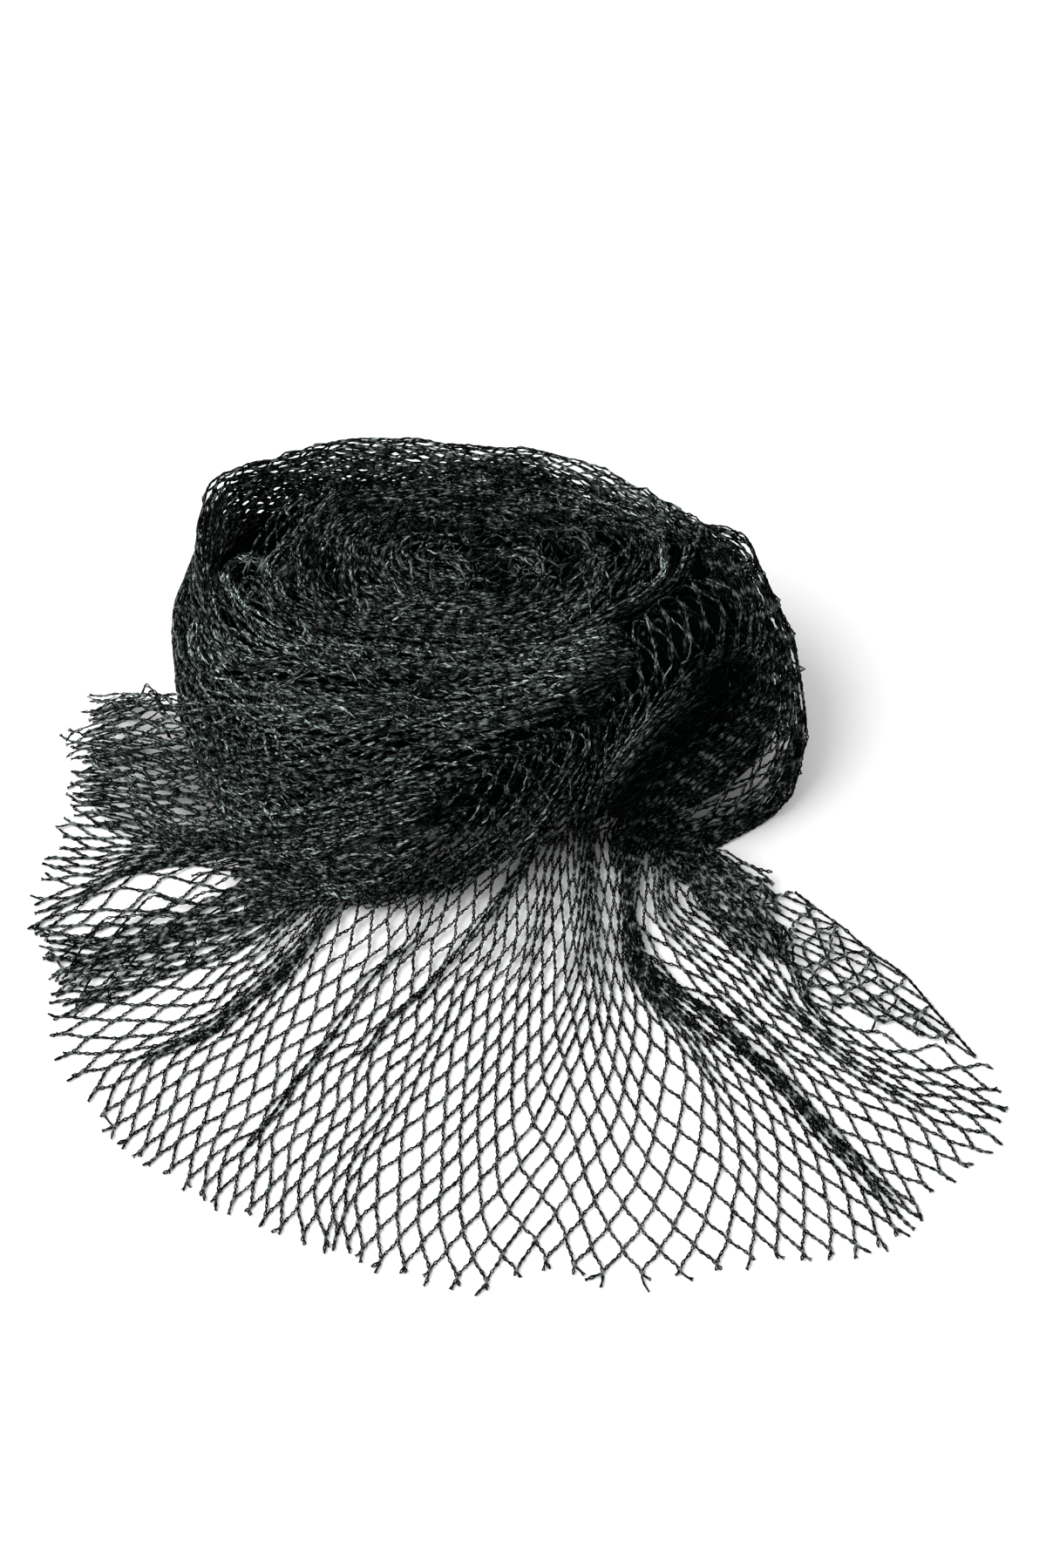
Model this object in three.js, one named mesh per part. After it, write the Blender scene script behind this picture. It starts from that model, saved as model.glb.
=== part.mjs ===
// Bird netting: a knotless diamond net wound into a flat oval coil, its cut end fanned out on the floor.
// Millimetres, +Z up, +X to the right and -Y towards the viewer. The origin is on the floor, at the
// middle of the coil's flat underside.
import * as THREE from 'three';

// Rows of a table as objects with named columns
function table(columns, rows) {
  return rows.map((row) => Object.fromEntries(columns.map((column, i) => [column, row[i]])));
}

// Wound coil
const COIL_MIDDLE = { x: 0, y: -8 };
const COIL_EYE = { x: -3, y: 12, z: 63 };
const COIL_TOP = 65;
const COIL_TURNS = 3.4;
const TURN_RISE = 6.5;
const LIP_THICKNESS = 3.2;
const ANGLE_STEPS = 108;
const SIDE_RINGS = 8;
const TURN_RINGS = 20;

// Outline of the coil by bearing from +X in degrees: foot on the floor, swell that draws the side out,
// and rim. The lip is how far the outermost turn stands above the coil inside it, across the hollow.
const COIL_SECTIONS = table(['bearing', 'foot', 'swell', 'swellZ', 'rim', 'rimZ', 'lip', 'hollow'], [
  [  0, 104, 130, 36,  86, 68,  1,  3],
  [ 20,  94, 106, 42,  86, 72,  4,  4],
  [ 45,  76,  82, 42,  73, 77, 12,  6],
  [ 70,  66,  72, 42,  67, 80, 16,  7],
  [ 95,  66,  72, 42,  66, 81, 17,  7],
  [120,  78,  86, 42,  80, 82, 19,  8],
  [140,  94, 104, 42,  97, 79, 30, 15],
  [155, 104, 118, 44, 108, 74, 32, 20],
  [170, 106, 126, 44, 104, 67, 16, 16],
  [185, 106, 122, 38,  92, 63,  2,  6],
  [205, 104, 116, 32,  80, 61,  0,  3],
  [232,  98, 106, 30,  58, 61,  0,  3],
  [250,  86,  92, 32,  42, 61,  0,  3],
  [270,  76,  82, 36,  36, 62,  0,  3],
  [292,  66,  72, 38,  36, 63,  0,  3],
  [312,  78,  84, 42,  46, 65,  0,  3],
  [332, 100, 116, 36,  66, 67,  0,  3],
  [346, 107, 130, 34,  78, 68,  0,  3],
]);

// Folds laid over the coil: a valley has a negative rise
const COIL_FOLDS = table(['fromX', 'fromY', 'toX', 'toY', 'reach', 'rise'], [
  [ 92, -12,  40, -52, 8, -20],
  [ 44,  -8,  76,  17, 6, -10],
  [ 46, -22,  76,  -4, 8,   5],
  [-26, -58,  52, -36, 8,  -6],
  [-92, -64, -30, -50, 7,   4],
  [-20, -74,  34, -50, 6,   4],
  [-88, -38,  30, -26, 6,  -3],
  [-90,  14, -80,  17, 8,  12],
  [-62,  14, -54,   4, 5,  -7],
]);

// Fanned end: a sheet of net cut through at twice its real mesh of 10 mm from knot to knot
const SHEET_THICKNESS = 1.6;
const STRAND_WIDTH = 2.4;
const LEAST_GAP = 4;
const HALF_ROWS = 10;
const UNCUT_ROWS = 2;
const FOOT_CLEARANCE = 0.8;

// Ribs of the fan, counted in meshes along the cut edge from the left: where each leaves the foot of
// the coil, and its way over the floor. The last three turn back as a flap above the others.
const RIB_COLUMNS = ['mesh', 'bearing', 'out', 'rootZ', 'midX', 'midY', 'midZ', 'edgeX', 'edgeY', 'edgeZ'];
const FAN_RIBS = table(RIB_COLUMNS, [
  [ 0, 173,  0,  4, -130,    7,  5, -148,    5,   2],
  [ 2, 184,  0, 10, -132,  -12,  9, -156,  -15,   3],
  [ 6, 199,  0, 12, -128,  -41, 10, -151,  -38,   5],
  [10, 213,  0,  4, -118,  -63,  1, -155,  -68,   0],
  [14, 223,  0,  6, -113,  -85,  4, -155,  -93,   1],
  [18, 231,  0,  4, -109, -105,  5, -151, -120,   1],
  [21, 236,  0,  2, -101, -122,  0, -143, -142,   0],
  [25, 241,  0,  3,  -90, -134,  3, -127, -175,   0],
  [30, 248,  0,  2,  -67, -140,  0, -102, -198,   0],
  [35, 258,  0,  2,  -47, -146,  2,  -76, -212,   0],
  [40, 270,  0,  2,  -26, -150,  2,  -48, -222,   2],
  [45, 281,  0,  4,   -6, -155,  0,  -17, -234,   0],
  [48, 288,  0,  6,   14, -155,  0,    9, -238,   0],
  [51, 295,  0,  6,   39, -154,  0,   38, -242,   0],
  [54, 301,  0,  6,   61, -154,  0,   77, -238,   0],
  [57, 305,  0,  6,   76, -153,  0,  105, -231,   0],
  [60, 308,  0,  7,   88, -152,  3,  129, -223,   0],
  [63, 311,  0,  7,   94, -148,  6,  142, -211,   4],
  [67, 315,  0,  4,  107, -142,  0,  160, -194,   0],
  [69, 318,  0,  2,  116, -137,  0,  170, -177,   0],
  [71, 322,  0,  2,  125, -128,  0,  173, -159,   0],
  [73, 328,  0,  4,  132, -108,  3,  170, -150, 2.5],
  [76, 324,  6,  9,  119, -107,  7,  150, -144,   5],
  [80, 320, 13, 10,  107, -108,  8,  124, -134,   6],
]);

// Monotone cubic through the rows of a table, so that no curve swings past its own points
function curveThrough(keys, values) {
  const last = keys.length - 1;
  const slope = [];
  for (let i = 0; i < last; i += 1) slope.push((values[i + 1] - values[i]) / (keys[i + 1] - keys[i]));
  const tangent = [slope[0]];
  for (let i = 1; i < last; i += 1) {
    const turns = slope[i - 1] * slope[i] <= 0;
    tangent.push(turns ? 0 : (2 * slope[i - 1] * slope[i]) / (slope[i - 1] + slope[i]));
  }
  tangent.push(slope[last - 1]);
  return (key) => {
    let i = 0;
    while (i < last - 1 && key > keys[i + 1]) i += 1;
    const span = keys[i + 1] - keys[i];
    const t = (key - keys[i]) / span;
    const s = 1 - t;
    return values[i] * s * s * (1 + 2 * t) + values[i + 1] * t * t * (3 - 2 * t)
      + span * t * s * (tangent[i] * s - tangent[i + 1] * t);
  };
}

function columnCurve(rows, key, column) {
  return curveThrough(rows.map((row) => row[key]), rows.map((row) => row[column]));
}

// The coil's outline repeats after a full turn, so its table is carried on past both ends
function coilColumn(column) {
  const shifted = (turn) => COIL_SECTIONS.map((row) => ({ ...row, bearing: row.bearing + turn }));
  return columnCurve([...shifted(-360), ...shifted(0), ...shifted(360)], 'bearing', column);
}

const coil = {
  foot: coilColumn('foot'),
  swell: coilColumn('swell'),
  swellZ: coilColumn('swellZ'),
  rim: coilColumn('rim'),
  rimZ: coilColumn('rimZ'),
  lip: coilColumn('lip'),
  hollow: coilColumn('hollow'),
};

function bearingPoint(bearing, radius, z) {
  const angle = THREE.MathUtils.degToRad(bearing);
  return new THREE.Vector3(
    COIL_MIDDLE.x + radius * Math.cos(angle),
    COIL_MIDDLE.y + radius * Math.sin(angle),
    z,
  );
}

function foldRise(point) {
  let rise = 0;
  for (const fold of COIL_FOLDS) {
    const along = new THREE.Vector2(fold.toX - fold.fromX, fold.toY - fold.fromY);
    const from = new THREE.Vector2(point.x - fold.fromX, point.y - fold.fromY);
    const t = THREE.MathUtils.clamp(from.dot(along) / along.lengthSq(), 0, 1);
    const away = from.addScaledVector(along, -t).length() / fold.reach;
    rise += fold.rise * Math.exp(-away * away);
  }
  return rise;
}

// Side of the coil, foot to rim: the folds push it along its own slope's normal
function sidePoint(bearing, t) {
  const s = 1 - t;
  const foot = coil.foot(bearing);
  const swell = coil.swell(bearing);
  const rim = coil.rim(bearing);
  const radius = foot * s * s + 2 * swell * s * t + rim * t * t;
  const z = 2 * coil.swellZ(bearing) * s * t + coil.rimZ(bearing) * t * t;
  const point = bearingPoint(bearing, radius, z);
  const slope = new THREE.Vector2(
    2 * s * (swell - foot) + 2 * t * (rim - swell),
    2 * s * coil.swellZ(bearing) + 2 * t * (coil.rimZ(bearing) - coil.swellZ(bearing)),
  ).normalize();
  const rise = foldRise(point) * Math.min(1, t * 2);
  return bearingPoint(bearing, radius + rise * slope.y, Math.max(z - rise * slope.x, z * 0.4));
}

// Top of the coil: turns of one spiral ridge that run in to the eye
function turnPoint(bearing, share) {
  const lipRadius = coil.rim(bearing) - LIP_THICKNESS - coil.hollow(bearing);
  const edge = bearingPoint(bearing, lipRadius, 0);
  const point = new THREE.Vector3(COIL_EYE.x, COIL_EYE.y, 0).lerp(edge, share);
  const edgeZ = Math.min(COIL_TOP, coil.rimZ(bearing) - coil.lip(bearing));
  const outerZ = THREE.MathUtils.lerp(COIL_TOP, edgeZ, share * share);
  const dish = THREE.MathUtils.lerp(COIL_EYE.z, outerZ, share);
  const turn = COIL_TURNS * share + bearing / 360;
  const ridge = Math.sin(Math.PI * (turn - Math.floor(turn))) ** 0.8;
  const fade = Math.min(1, share * 3) * Math.min(1, (1 - share) * 6);
  point.z = dish + TURN_RISE * (ridge - 0.6) * fade + foldRise(point);
  return point;
}

function makeRoll() {
  const rings = [];
  for (let i = 0; i <= SIDE_RINGS; i += 1) {
    rings.push((bearing) => sidePoint(bearing, i / SIDE_RINGS));
  }
  rings.push((bearing) => {
    const point = sidePoint(bearing, 1);
    const inner = bearingPoint(bearing, coil.rim(bearing) - LIP_THICKNESS, 0);
    return new THREE.Vector3(inner.x, inner.y, point.z - Math.min(1, coil.lip(bearing) * 0.2));
  });
  for (let i = 0; i < TURN_RINGS; i += 1) {
    rings.push((bearing) => turnPoint(bearing, 1 - i / TURN_RINGS));
  }
  const vertices = [];
  for (const ring of rings) {
    for (let a = 0; a < ANGLE_STEPS; a += 1) vertices.push(ring((360 * a) / ANGLE_STEPS));
  }
  const base = vertices.push(bearingPoint(0, 0, 0)) - 1;
  const eye = vertices.push(new THREE.Vector3(COIL_EYE.x, COIL_EYE.y, COIL_EYE.z)) - 1;
  const faces = [];
  const lastRing = (rings.length - 1) * ANGLE_STEPS;
  for (let a = 0; a < ANGLE_STEPS; a += 1) {
    const b = (a + 1) % ANGLE_STEPS;
    faces.push(base, b, a, eye, lastRing + a, lastRing + b);
    for (let r = 0; r < rings.length - 1; r += 1) {
      const low = r * ANGLE_STEPS;
      const high = low + ANGLE_STEPS;
      faces.push(low + a, low + b, high + b, low + a, high + b, high + a);
    }
  }
  return { vertices, faces };
}

// Furthest that the coil's side reaches out at a bearing, from the floor up to a height
function sideReach(bearing, height) {
  let reach = 0;
  for (let i = 0; i <= SIDE_RINGS * 2; i += 1) {
    const point = sidePoint(bearing, i / (SIDE_RINGS * 4));
    const radius = Math.hypot(point.x - COIL_MIDDLE.x, point.y - COIL_MIDDLE.y);
    if (i === 0 || point.z < height) reach = Math.max(reach, radius);
  }
  return reach;
}

// Middle of the fanned sheet at a mesh along the edge, and a share of the way from root to cut edge
function makeFanSurface() {
  const rib = {};
  for (const column of RIB_COLUMNS) rib[column] = columnCurve(FAN_RIBS, 'mesh', column);
  return (mesh, share) => {
    const bearing = rib.bearing(mesh);
    const reach = sideReach(bearing, rib.rootZ(mesh) + 2 * SHEET_THICKNESS);
    const root = bearingPoint(bearing, reach + FOOT_CLEARANCE + rib.out(mesh), rib.rootZ(mesh));
    const mid = new THREE.Vector3(rib.midX(mesh), rib.midY(mesh), rib.midZ(mesh));
    const edge = new THREE.Vector3(rib.edgeX(mesh), rib.edgeY(mesh), rib.edgeZ(mesh));
    const point = new THREE.Vector3()
      .addScaledVector(root, (1 - share) * (1 - 2 * share))
      .addScaledVector(mid, 4 * share * (1 - share))
      .addScaledVector(edge, share * (2 * share - 1));
    point.z = Math.max(0, point.z) + SHEET_THICKNESS / 2;
    return point;
  };
}

function middleOf(points) {
  return points.reduce((sum, p) => sum.add(p), new THREE.Vector3()).divideScalar(points.length);
}

function makeLooseEnd() {
  const surface = makeFanSurface();
  const meshes = FAN_RIBS[FAN_RIBS.length - 1].mesh;
  const nudge = 0.02;
  const vertices = [];
  const knots = new Map();
  const knot = (mesh, row) => {
    const name = `${mesh},${row}`;
    if (!knots.has(name)) {
      const share = row / HALF_ROWS;
      const point = surface(mesh, share);
      const right = surface(Math.min(mesh + nudge, meshes), share);
      const left = surface(Math.max(mesh - nudge, 0), share);
      const outer = surface(mesh, Math.min(share + nudge, 1));
      const inner = surface(mesh, Math.max(share - nudge, 0));
      const across = right.sub(left);
      const along = outer.sub(inner);
      const normal = along.cross(across).normalize().multiplyScalar(SHEET_THICKNESS / 2);
      const top = point.clone().add(normal);
      const under = point.clone().sub(normal);
      top.z = Math.max(top.z, 0);
      under.z = Math.max(under.z, 0);
      knots.set(name, { top: vertices.push(top) - 1, under: vertices.push(under) - 1 });
    }
    return knots.get(name);
  };
  const faces = [];
  const quad = (a, b, c, d) => faces.push(a, b, c, a, c, d);
  const edges = new Map();
  const noteEdge = (from, to) => {
    const back = `${to.top},${from.top}`;
    if (edges.has(back)) edges.delete(back);
    else edges.set(`${from.top},${to.top}`, [from, to]);
  };
  for (let row = 1; row < HALF_ROWS; row += 1) {
    for (let mesh = 1; mesh < meshes; mesh += 1) {
      if ((mesh + row) % 2 === 0) continue;
      const corners = [knot(mesh, row - 1), knot(mesh - 1, row), knot(mesh, row + 1), knot(mesh + 1, row)];
      const tops = corners.map((corner) => vertices[corner.top]);
      const unders = corners.map((corner) => vertices[corner.under]);
      const topMiddle = middleOf(tops);
      const underMiddle = middleOf(unders);
      const diagonals = tops[2].clone().sub(tops[0]).cross(tops[3].clone().sub(tops[1]));
      const around = tops.reduce((sum, p, i) => sum + p.distanceTo(tops[(i + 1) % 4]), 0);
      const inRadius = diagonals.length() / around;
      const cut = row > UNCUT_ROWS && 2 * inRadius - STRAND_WIDTH > LEAST_GAP;
      corners.forEach((corner, i) => noteEdge(corner, corners[(i + 1) % 4]));
      if (!cut) {
        quad(corners[0].top, corners[1].top, corners[2].top, corners[3].top);
        quad(corners[3].under, corners[2].under, corners[1].under, corners[0].under);
        continue;
      }
      const keep = 1 - STRAND_WIDTH / (2 * inRadius);
      const holes = corners.map((corner, i) => ({
        top: vertices.push(topMiddle.clone().lerp(tops[i], keep)) - 1,
        under: vertices.push(underMiddle.clone().lerp(unders[i], keep)) - 1,
      }));
      for (let i = 0; i < 4; i += 1) {
        const j = (i + 1) % 4;
        quad(corners[i].top, corners[j].top, holes[j].top, holes[i].top);
        quad(corners[j].under, corners[i].under, holes[i].under, holes[j].under);
        quad(holes[i].top, holes[j].top, holes[j].under, holes[i].under);
      }
    }
  }
  for (let mesh = 1; mesh < meshes; mesh += 2) {
    const corners = [knot(mesh - 1, 0), knot(mesh, 1), knot(mesh + 1, 0)];
    corners.forEach((corner, i) => noteEdge(corner, corners[(i + 1) % 3]));
    faces.push(corners[0].top, corners[1].top, corners[2].top);
    faces.push(corners[2].under, corners[1].under, corners[0].under);
  }
  for (const [from, to] of edges.values()) quad(from.under, to.under, to.top, from.top);
  return { vertices, faces };
}

function makeNode(name, shape, color, roughness) {
  const geometry = new THREE.BufferGeometry();
  geometry.setFromPoints(shape.vertices);
  geometry.setIndex(shape.faces);
  geometry.computeVertexNormals();
  const mesh = new THREE.Mesh(geometry, new THREE.MeshStandardMaterial({ color, roughness }));
  mesh.name = name;
  return mesh;
}

const net = new THREE.Group();
net.add(makeNode('roll', makeRoll(), 0x141c1a, 0.6));
net.add(makeNode('loose_end', makeLooseEnd(), 0x18221f, 0.6));

export default net;
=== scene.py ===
"""Bird netting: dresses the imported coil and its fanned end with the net's own strands."""

import math

import bpy
import numpy as np
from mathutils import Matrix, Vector
from mathutils.bvhtree import BVHTree


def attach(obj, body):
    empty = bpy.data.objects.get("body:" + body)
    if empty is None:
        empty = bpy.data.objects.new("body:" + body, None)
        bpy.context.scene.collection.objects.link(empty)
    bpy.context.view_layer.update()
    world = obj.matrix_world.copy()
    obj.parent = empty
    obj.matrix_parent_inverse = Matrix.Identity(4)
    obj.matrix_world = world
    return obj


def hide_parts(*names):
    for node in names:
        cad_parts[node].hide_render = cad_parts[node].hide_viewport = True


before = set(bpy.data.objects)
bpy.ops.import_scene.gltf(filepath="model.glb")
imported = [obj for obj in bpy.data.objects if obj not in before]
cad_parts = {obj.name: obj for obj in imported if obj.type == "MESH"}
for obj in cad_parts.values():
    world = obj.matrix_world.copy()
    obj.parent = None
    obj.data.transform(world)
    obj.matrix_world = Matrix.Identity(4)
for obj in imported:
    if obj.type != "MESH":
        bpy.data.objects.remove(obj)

bl_info = {
    "name": "Bird netting",
    "version": (1, 0, 0),
    "blender": (4, 5, 0),
    "location": "View3D > Sidebar > Bird netting",
    "description": "Dresses a wound bird net and its fanned end with knotless diamond mesh",
    "category": "Object",
}

MM = 0.001
BODY = "root"

# The photograph's frame, and the camera's sensor
PHOTO_WIDTH = 1200
PHOTO_HEIGHT = 1799
SENSOR = 36.0


def table(columns, rows):
    """Rows as dictionaries with named columns."""
    return [dict(zip(columns, row)) for row in rows]


# Ribs are lines of knots traced in pixels of the photograph: the mesh across a sheet, and the path along it
RIB = ("mesh", "path")

# The fan, from its cut edge to the coil
FAN_RIBS = table(RIB, [
    (-2, ((72, 1148), (108, 1140), (148, 1128), (188, 1112), (226, 1098), (262, 1084), (296, 1066),
          (334, 1040), (390, 1000))),
    (0, ((75, 1187), (110, 1177), (150, 1166), (190, 1152), (228, 1138), (262, 1118), (295, 1092),
         (334, 1054), (396, 1000))),
    (1, ((85, 1208), (125, 1196), (165, 1183), (203, 1168), (240, 1150), (273, 1126), (304, 1098),
         (340, 1060), (398, 1000))),
    (2, ((95, 1228), (132, 1212), (168, 1195), (205, 1178), (243, 1160), (277, 1136), (309, 1106),
         (345, 1066), (400, 1000))),
    (3, ((110, 1250), (138, 1226), (170, 1205), (206, 1187), (243, 1168), (277, 1144), (311, 1112),
         (348, 1070), (404, 1000))),
    (4, ((122, 1278), (146, 1244), (174, 1216), (208, 1196), (243, 1178), (275, 1154), (309, 1120),
         (350, 1075), (408, 1000))),
    (6, ((148, 1305), (172, 1272), (200, 1238), (230, 1208), (262, 1182), (292, 1154), (325, 1119),
         (362, 1072), (414, 1000))),
    (8, ((180, 1328), (206, 1292), (234, 1256), (264, 1220), (294, 1184), (322, 1148), (352, 1109),
         (382, 1064), (424, 1000))),
    (10, ((215, 1355), (240, 1318), (268, 1280), (296, 1242), (326, 1204), (356, 1164), (386, 1123),
          (418, 1074), (464, 996))),
    (12, ((248, 1373), (268, 1338), (296, 1300), (324, 1262), (354, 1222), (386, 1178), (420, 1131),
          (456, 1080), (506, 986))),
    (14, ((287, 1390), (300, 1358), (322, 1318), (350, 1276), (380, 1234), (412, 1188), (448, 1135),
          (488, 1080), (548, 972))),
    (16, ((322, 1406), (338, 1366), (360, 1324), (388, 1280), (418, 1232), (450, 1186), (484, 1136),
          (520, 1084), (584, 962))),
    (18, ((368, 1414), (380, 1374), (400, 1330), (426, 1284), (456, 1234), (488, 1184), (520, 1134),
          (552, 1084), (610, 950))),
    (20, ((395, 1422), (410, 1378), (432, 1332), (458, 1284), (488, 1232), (518, 1180), (548, 1128),
          (576, 1078), (626, 942))),
    (22, ((437, 1444), (456, 1394), (480, 1344), (505, 1294), (530, 1242), (556, 1188), (582, 1134),
          (604, 1082), (638, 936))),
    (24, ((493, 1458), (508, 1404), (526, 1352), (545, 1300), (566, 1246), (588, 1192), (608, 1138),
          (625, 1086), (650, 932))),
    (26, ((552, 1470), (564, 1412), (578, 1358), (594, 1302), (610, 1246), (626, 1192), (640, 1138),
          (651, 1088), (662, 928))),
    (28, ((626, 1450), (634, 1402), (642, 1352), (650, 1300), (657, 1248), (663, 1194), (668, 1140),
          (672, 1090), (673, 928))),
    (30, ((691, 1460), (694, 1408), (696, 1356), (697, 1302), (697, 1248), (695, 1194), (692, 1140),
          (688, 1090), (682, 945))),
    (32, ((781, 1453), (772, 1404), (762, 1354), (750, 1302), (738, 1250), (726, 1196), (715, 1142),
          (706, 1090), (700, 940))),
    (34, ((862, 1442), (842, 1390), (824, 1338), (806, 1288), (786, 1240), (763, 1190), (739, 1140),
          (718, 1088), (713, 944))),
    (36, ((920, 1437), (893, 1382), (866, 1328), (842, 1280), (815, 1234), (784, 1186), (747, 1138),
          (721, 1086), (716, 945))),
    (38, ((980, 1428), (944, 1372), (908, 1316), (876, 1270), (840, 1226), (800, 1180), (752, 1132),
          (723, 1082), (718, 946))),
    (40, ((1024, 1408), (980, 1356), (938, 1304), (898, 1256), (855, 1212), (808, 1170), (756, 1126),
          (725, 1078), (720, 948))),
    (42, ((1044, 1392), (995, 1344), (948, 1292), (904, 1246), (860, 1204), (813, 1162), (760, 1120),
          (727, 1074), (722, 950))),
    (43, ((1052, 1386), (1002, 1336), (954, 1286), (908, 1240), (864, 1198), (819, 1156), (764, 1114),
          (729, 1070), (725, 950))),
    (44, ((1062, 1362), (1012, 1314), (962, 1268), (914, 1226), (868, 1184), (820, 1140), (770, 1098),
          (735, 1052), (730, 950))),
    (46, ((1105, 1336), (1050, 1292), (990, 1257), (936, 1219), (886, 1174), (841, 1129), (789, 1083),
          (757, 1045), (744, 950))),
    (49, ((1138, 1284), (1078, 1256), (1014, 1226), (957, 1192), (906, 1152), (862, 1105), (816, 1065),
          (782, 1034), (762, 950))),
    (51, ((1134, 1250), (1084, 1234), (1030, 1208), (976, 1180), (934, 1148), (892, 1106), (852, 1066),
          (818, 1034), (790, 955))),
    (52, ((1134, 1222), (1086, 1204), (1034, 1186), (982, 1168), (942, 1146), (914, 1110), (900, 1074),
          (886, 1038), (860, 985))),
])

# Pleats of the fan, narrow runs of net: meshes across, half width in pixels, and path in to the coil
PLEATS = table(("meshes", "width", "path"), [
    (3, 4, ((744, 1106), (733, 1080), (727, 1055), (723, 1025), (724, 995), (730, 950))),
    (1, 4, ((900, 1250), (872, 1218), (843, 1188), (813, 1162), (785, 1138), (762, 1116), (748, 1098),
            (738, 1078))),
    (1, 4, ((975, 1330), (952, 1302), (926, 1274), (900, 1246), (870, 1214), (840, 1184), (808, 1156),
            (780, 1130))),
    (1, 6, ((1034, 1392), (1010, 1366), (986, 1340), (962, 1312), (938, 1284), (914, 1258), (890, 1232),
            (866, 1210))),
    (1, 4, ((965, 1186), (946, 1172), (930, 1152), (920, 1132), (910, 1105), (903, 1078), (898, 1054),
            (893, 1034))),
])

# Where the fan gathers into a pleat: the path it is drawn to, how far the pull reaches and its share
GATHERS = table(("path", "width", "pull"), [
    (((170, 1216), (205, 1197), (240, 1186), (268, 1164), (296, 1138), (325, 1112), (352, 1084),
      (385, 1038)), 16, 0.6),
    (((298, 1300), (322, 1266), (348, 1229), (372, 1202), (396, 1164), (422, 1126), (446, 1100),
      (478, 1078)), 21, 0.85),
    (((420, 1207), (438, 1178), (462, 1157), (487, 1136), (510, 1108), (531, 1084), (550, 1060),
      (567, 1038), (586, 1014), (606, 984)), 21, 0.9),
    (((384, 1420), (394, 1396), (404, 1376)), 10, 0.8),
    (((1050, 1266), (1004, 1242), (968, 1216), (938, 1188), (912, 1160)), 24, 0.55),
    (((900, 1212), (862, 1176), (824, 1138), (792, 1100), (768, 1066), (752, 1034)), 15, 0.45),
])

# The corner beyond the crease opens to a fold edge, and turns back over itself
FLAP_RIBS = table(RIB, [
    (0, ((912, 1024), (900, 1021), (886, 1016), (868, 1006))),
    (2, ((966, 1064), (936, 1062), (902, 1057), (868, 1047))),
    (4, ((1040, 1122), (986, 1108), (930, 1096), (880, 1084))),
    (7, ((1122, 1216), (1056, 1188), (986, 1164), (910, 1140))),
])

BACKFOLD_RIBS = table(RIB, [
    (0, ((926, 1132), (918, 1100), (924, 1062), (922, 1032))),
    (1, ((960, 1149), (950, 1120), (953, 1088), (960, 1058))),
    (2, ((1005, 1168), (992, 1142), (988, 1114), (998, 1086))),
    (3, ((1050, 1184), (1036, 1163), (1028, 1140), (1034, 1116))),
    (4, ((1086, 1190), (1076, 1178), (1068, 1164), (1070, 1150))),
])

# Three layers lie over each other between the crease and the coil, each with its own slant
BUNCH_RIBS = table(RIB, [
    (0, ((908, 1114), (880, 1085), (840, 1060), (800, 1030), (762, 998), (730, 945))),
    (2, ((902, 1080), (870, 1052), (835, 1028), (802, 1005), (772, 982), (742, 938))),
    (4, ((896, 1048), (868, 1028), (840, 1008), (812, 990), (786, 972), (756, 932))),
    (6, ((890, 1012), (872, 1003), (850, 990), (826, 976), (804, 962), (772, 930))),
])

STEEP_RIBS = table(RIB, [
    (0, ((832, 1078), (806, 1045), (786, 1015), (764, 985), (735, 938))),
    (2, ((858, 1094), (836, 1060), (812, 1025), (788, 990), (752, 938))),
    (4, ((888, 1106), (863, 1065), (840, 1025), (814, 990), (772, 938))),
    (6, ((899, 1085), (884, 1050), (864, 1015), (838, 988), (795, 945))),
])

LEVEL_RIBS = table(RIB, [
    (0, ((886, 1003), (850, 984), (805, 975), (755, 975))),
    (2, ((894, 1035), (856, 1016), (815, 1005), (768, 1000))),
    (3, ((897, 1070), (866, 1050), (834, 1042), (792, 1035))),
    (5, ((902, 1108), (880, 1090), (858, 1080), (828, 1072))),
])

# On the left, layers of the cut end lie over each other
TAIL_RIBS = table(RIB, [
    (0, ((72, 1160), (122, 1150), (175, 1132), (235, 1108), (300, 1074), (370, 1030))),
    (2, ((64, 1138), (115, 1128), (170, 1110), (235, 1090), (300, 1064), (365, 1024))),
    (3, ((60, 1112), (110, 1108), (165, 1094), (230, 1078), (295, 1056), (360, 1020))),
    (5, ((56, 1090), (105, 1090), (160, 1078), (225, 1064), (290, 1046), (355, 1014))),
    (7, ((50, 1072), (100, 1066), (155, 1052), (220, 1040), (285, 1028), (350, 1008))),
    (9, ((46, 1054), (90, 1036), (130, 1012), (182, 996), (255, 984), (340, 970))),
    (11, ((44, 1030), (92, 1020), (138, 1002), (190, 988), (262, 976), (338, 962))),
    (12, ((50, 1006), (100, 1006), (145, 994), (200, 982), (270, 970), (336, 955))),
    (14, ((60, 982), (108, 986), (152, 982), (206, 976), (275, 963), (335, 948))),
    (16, ((74, 958), (114, 966), (156, 970), (212, 968), (280, 956), (335, 942))),
    (18, ((90, 930), (125, 942), (165, 952), (218, 958), (282, 950), (335, 935))),
])

BAND_RIBS = table(RIB, [
    (0, ((84, 1156), (128, 1144), (182, 1118), (240, 1090), (305, 1062), (374, 1032))),
    (1, ((74, 1128), (120, 1116), (172, 1096), (232, 1074), (300, 1050), (368, 1022))),
    (3, ((62, 1098), (112, 1088), (165, 1072), (228, 1054), (295, 1036), (362, 1012))),
    (4, ((52, 1066), (104, 1058), (160, 1046), (225, 1034), (290, 1022), (356, 1002))),
])

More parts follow.
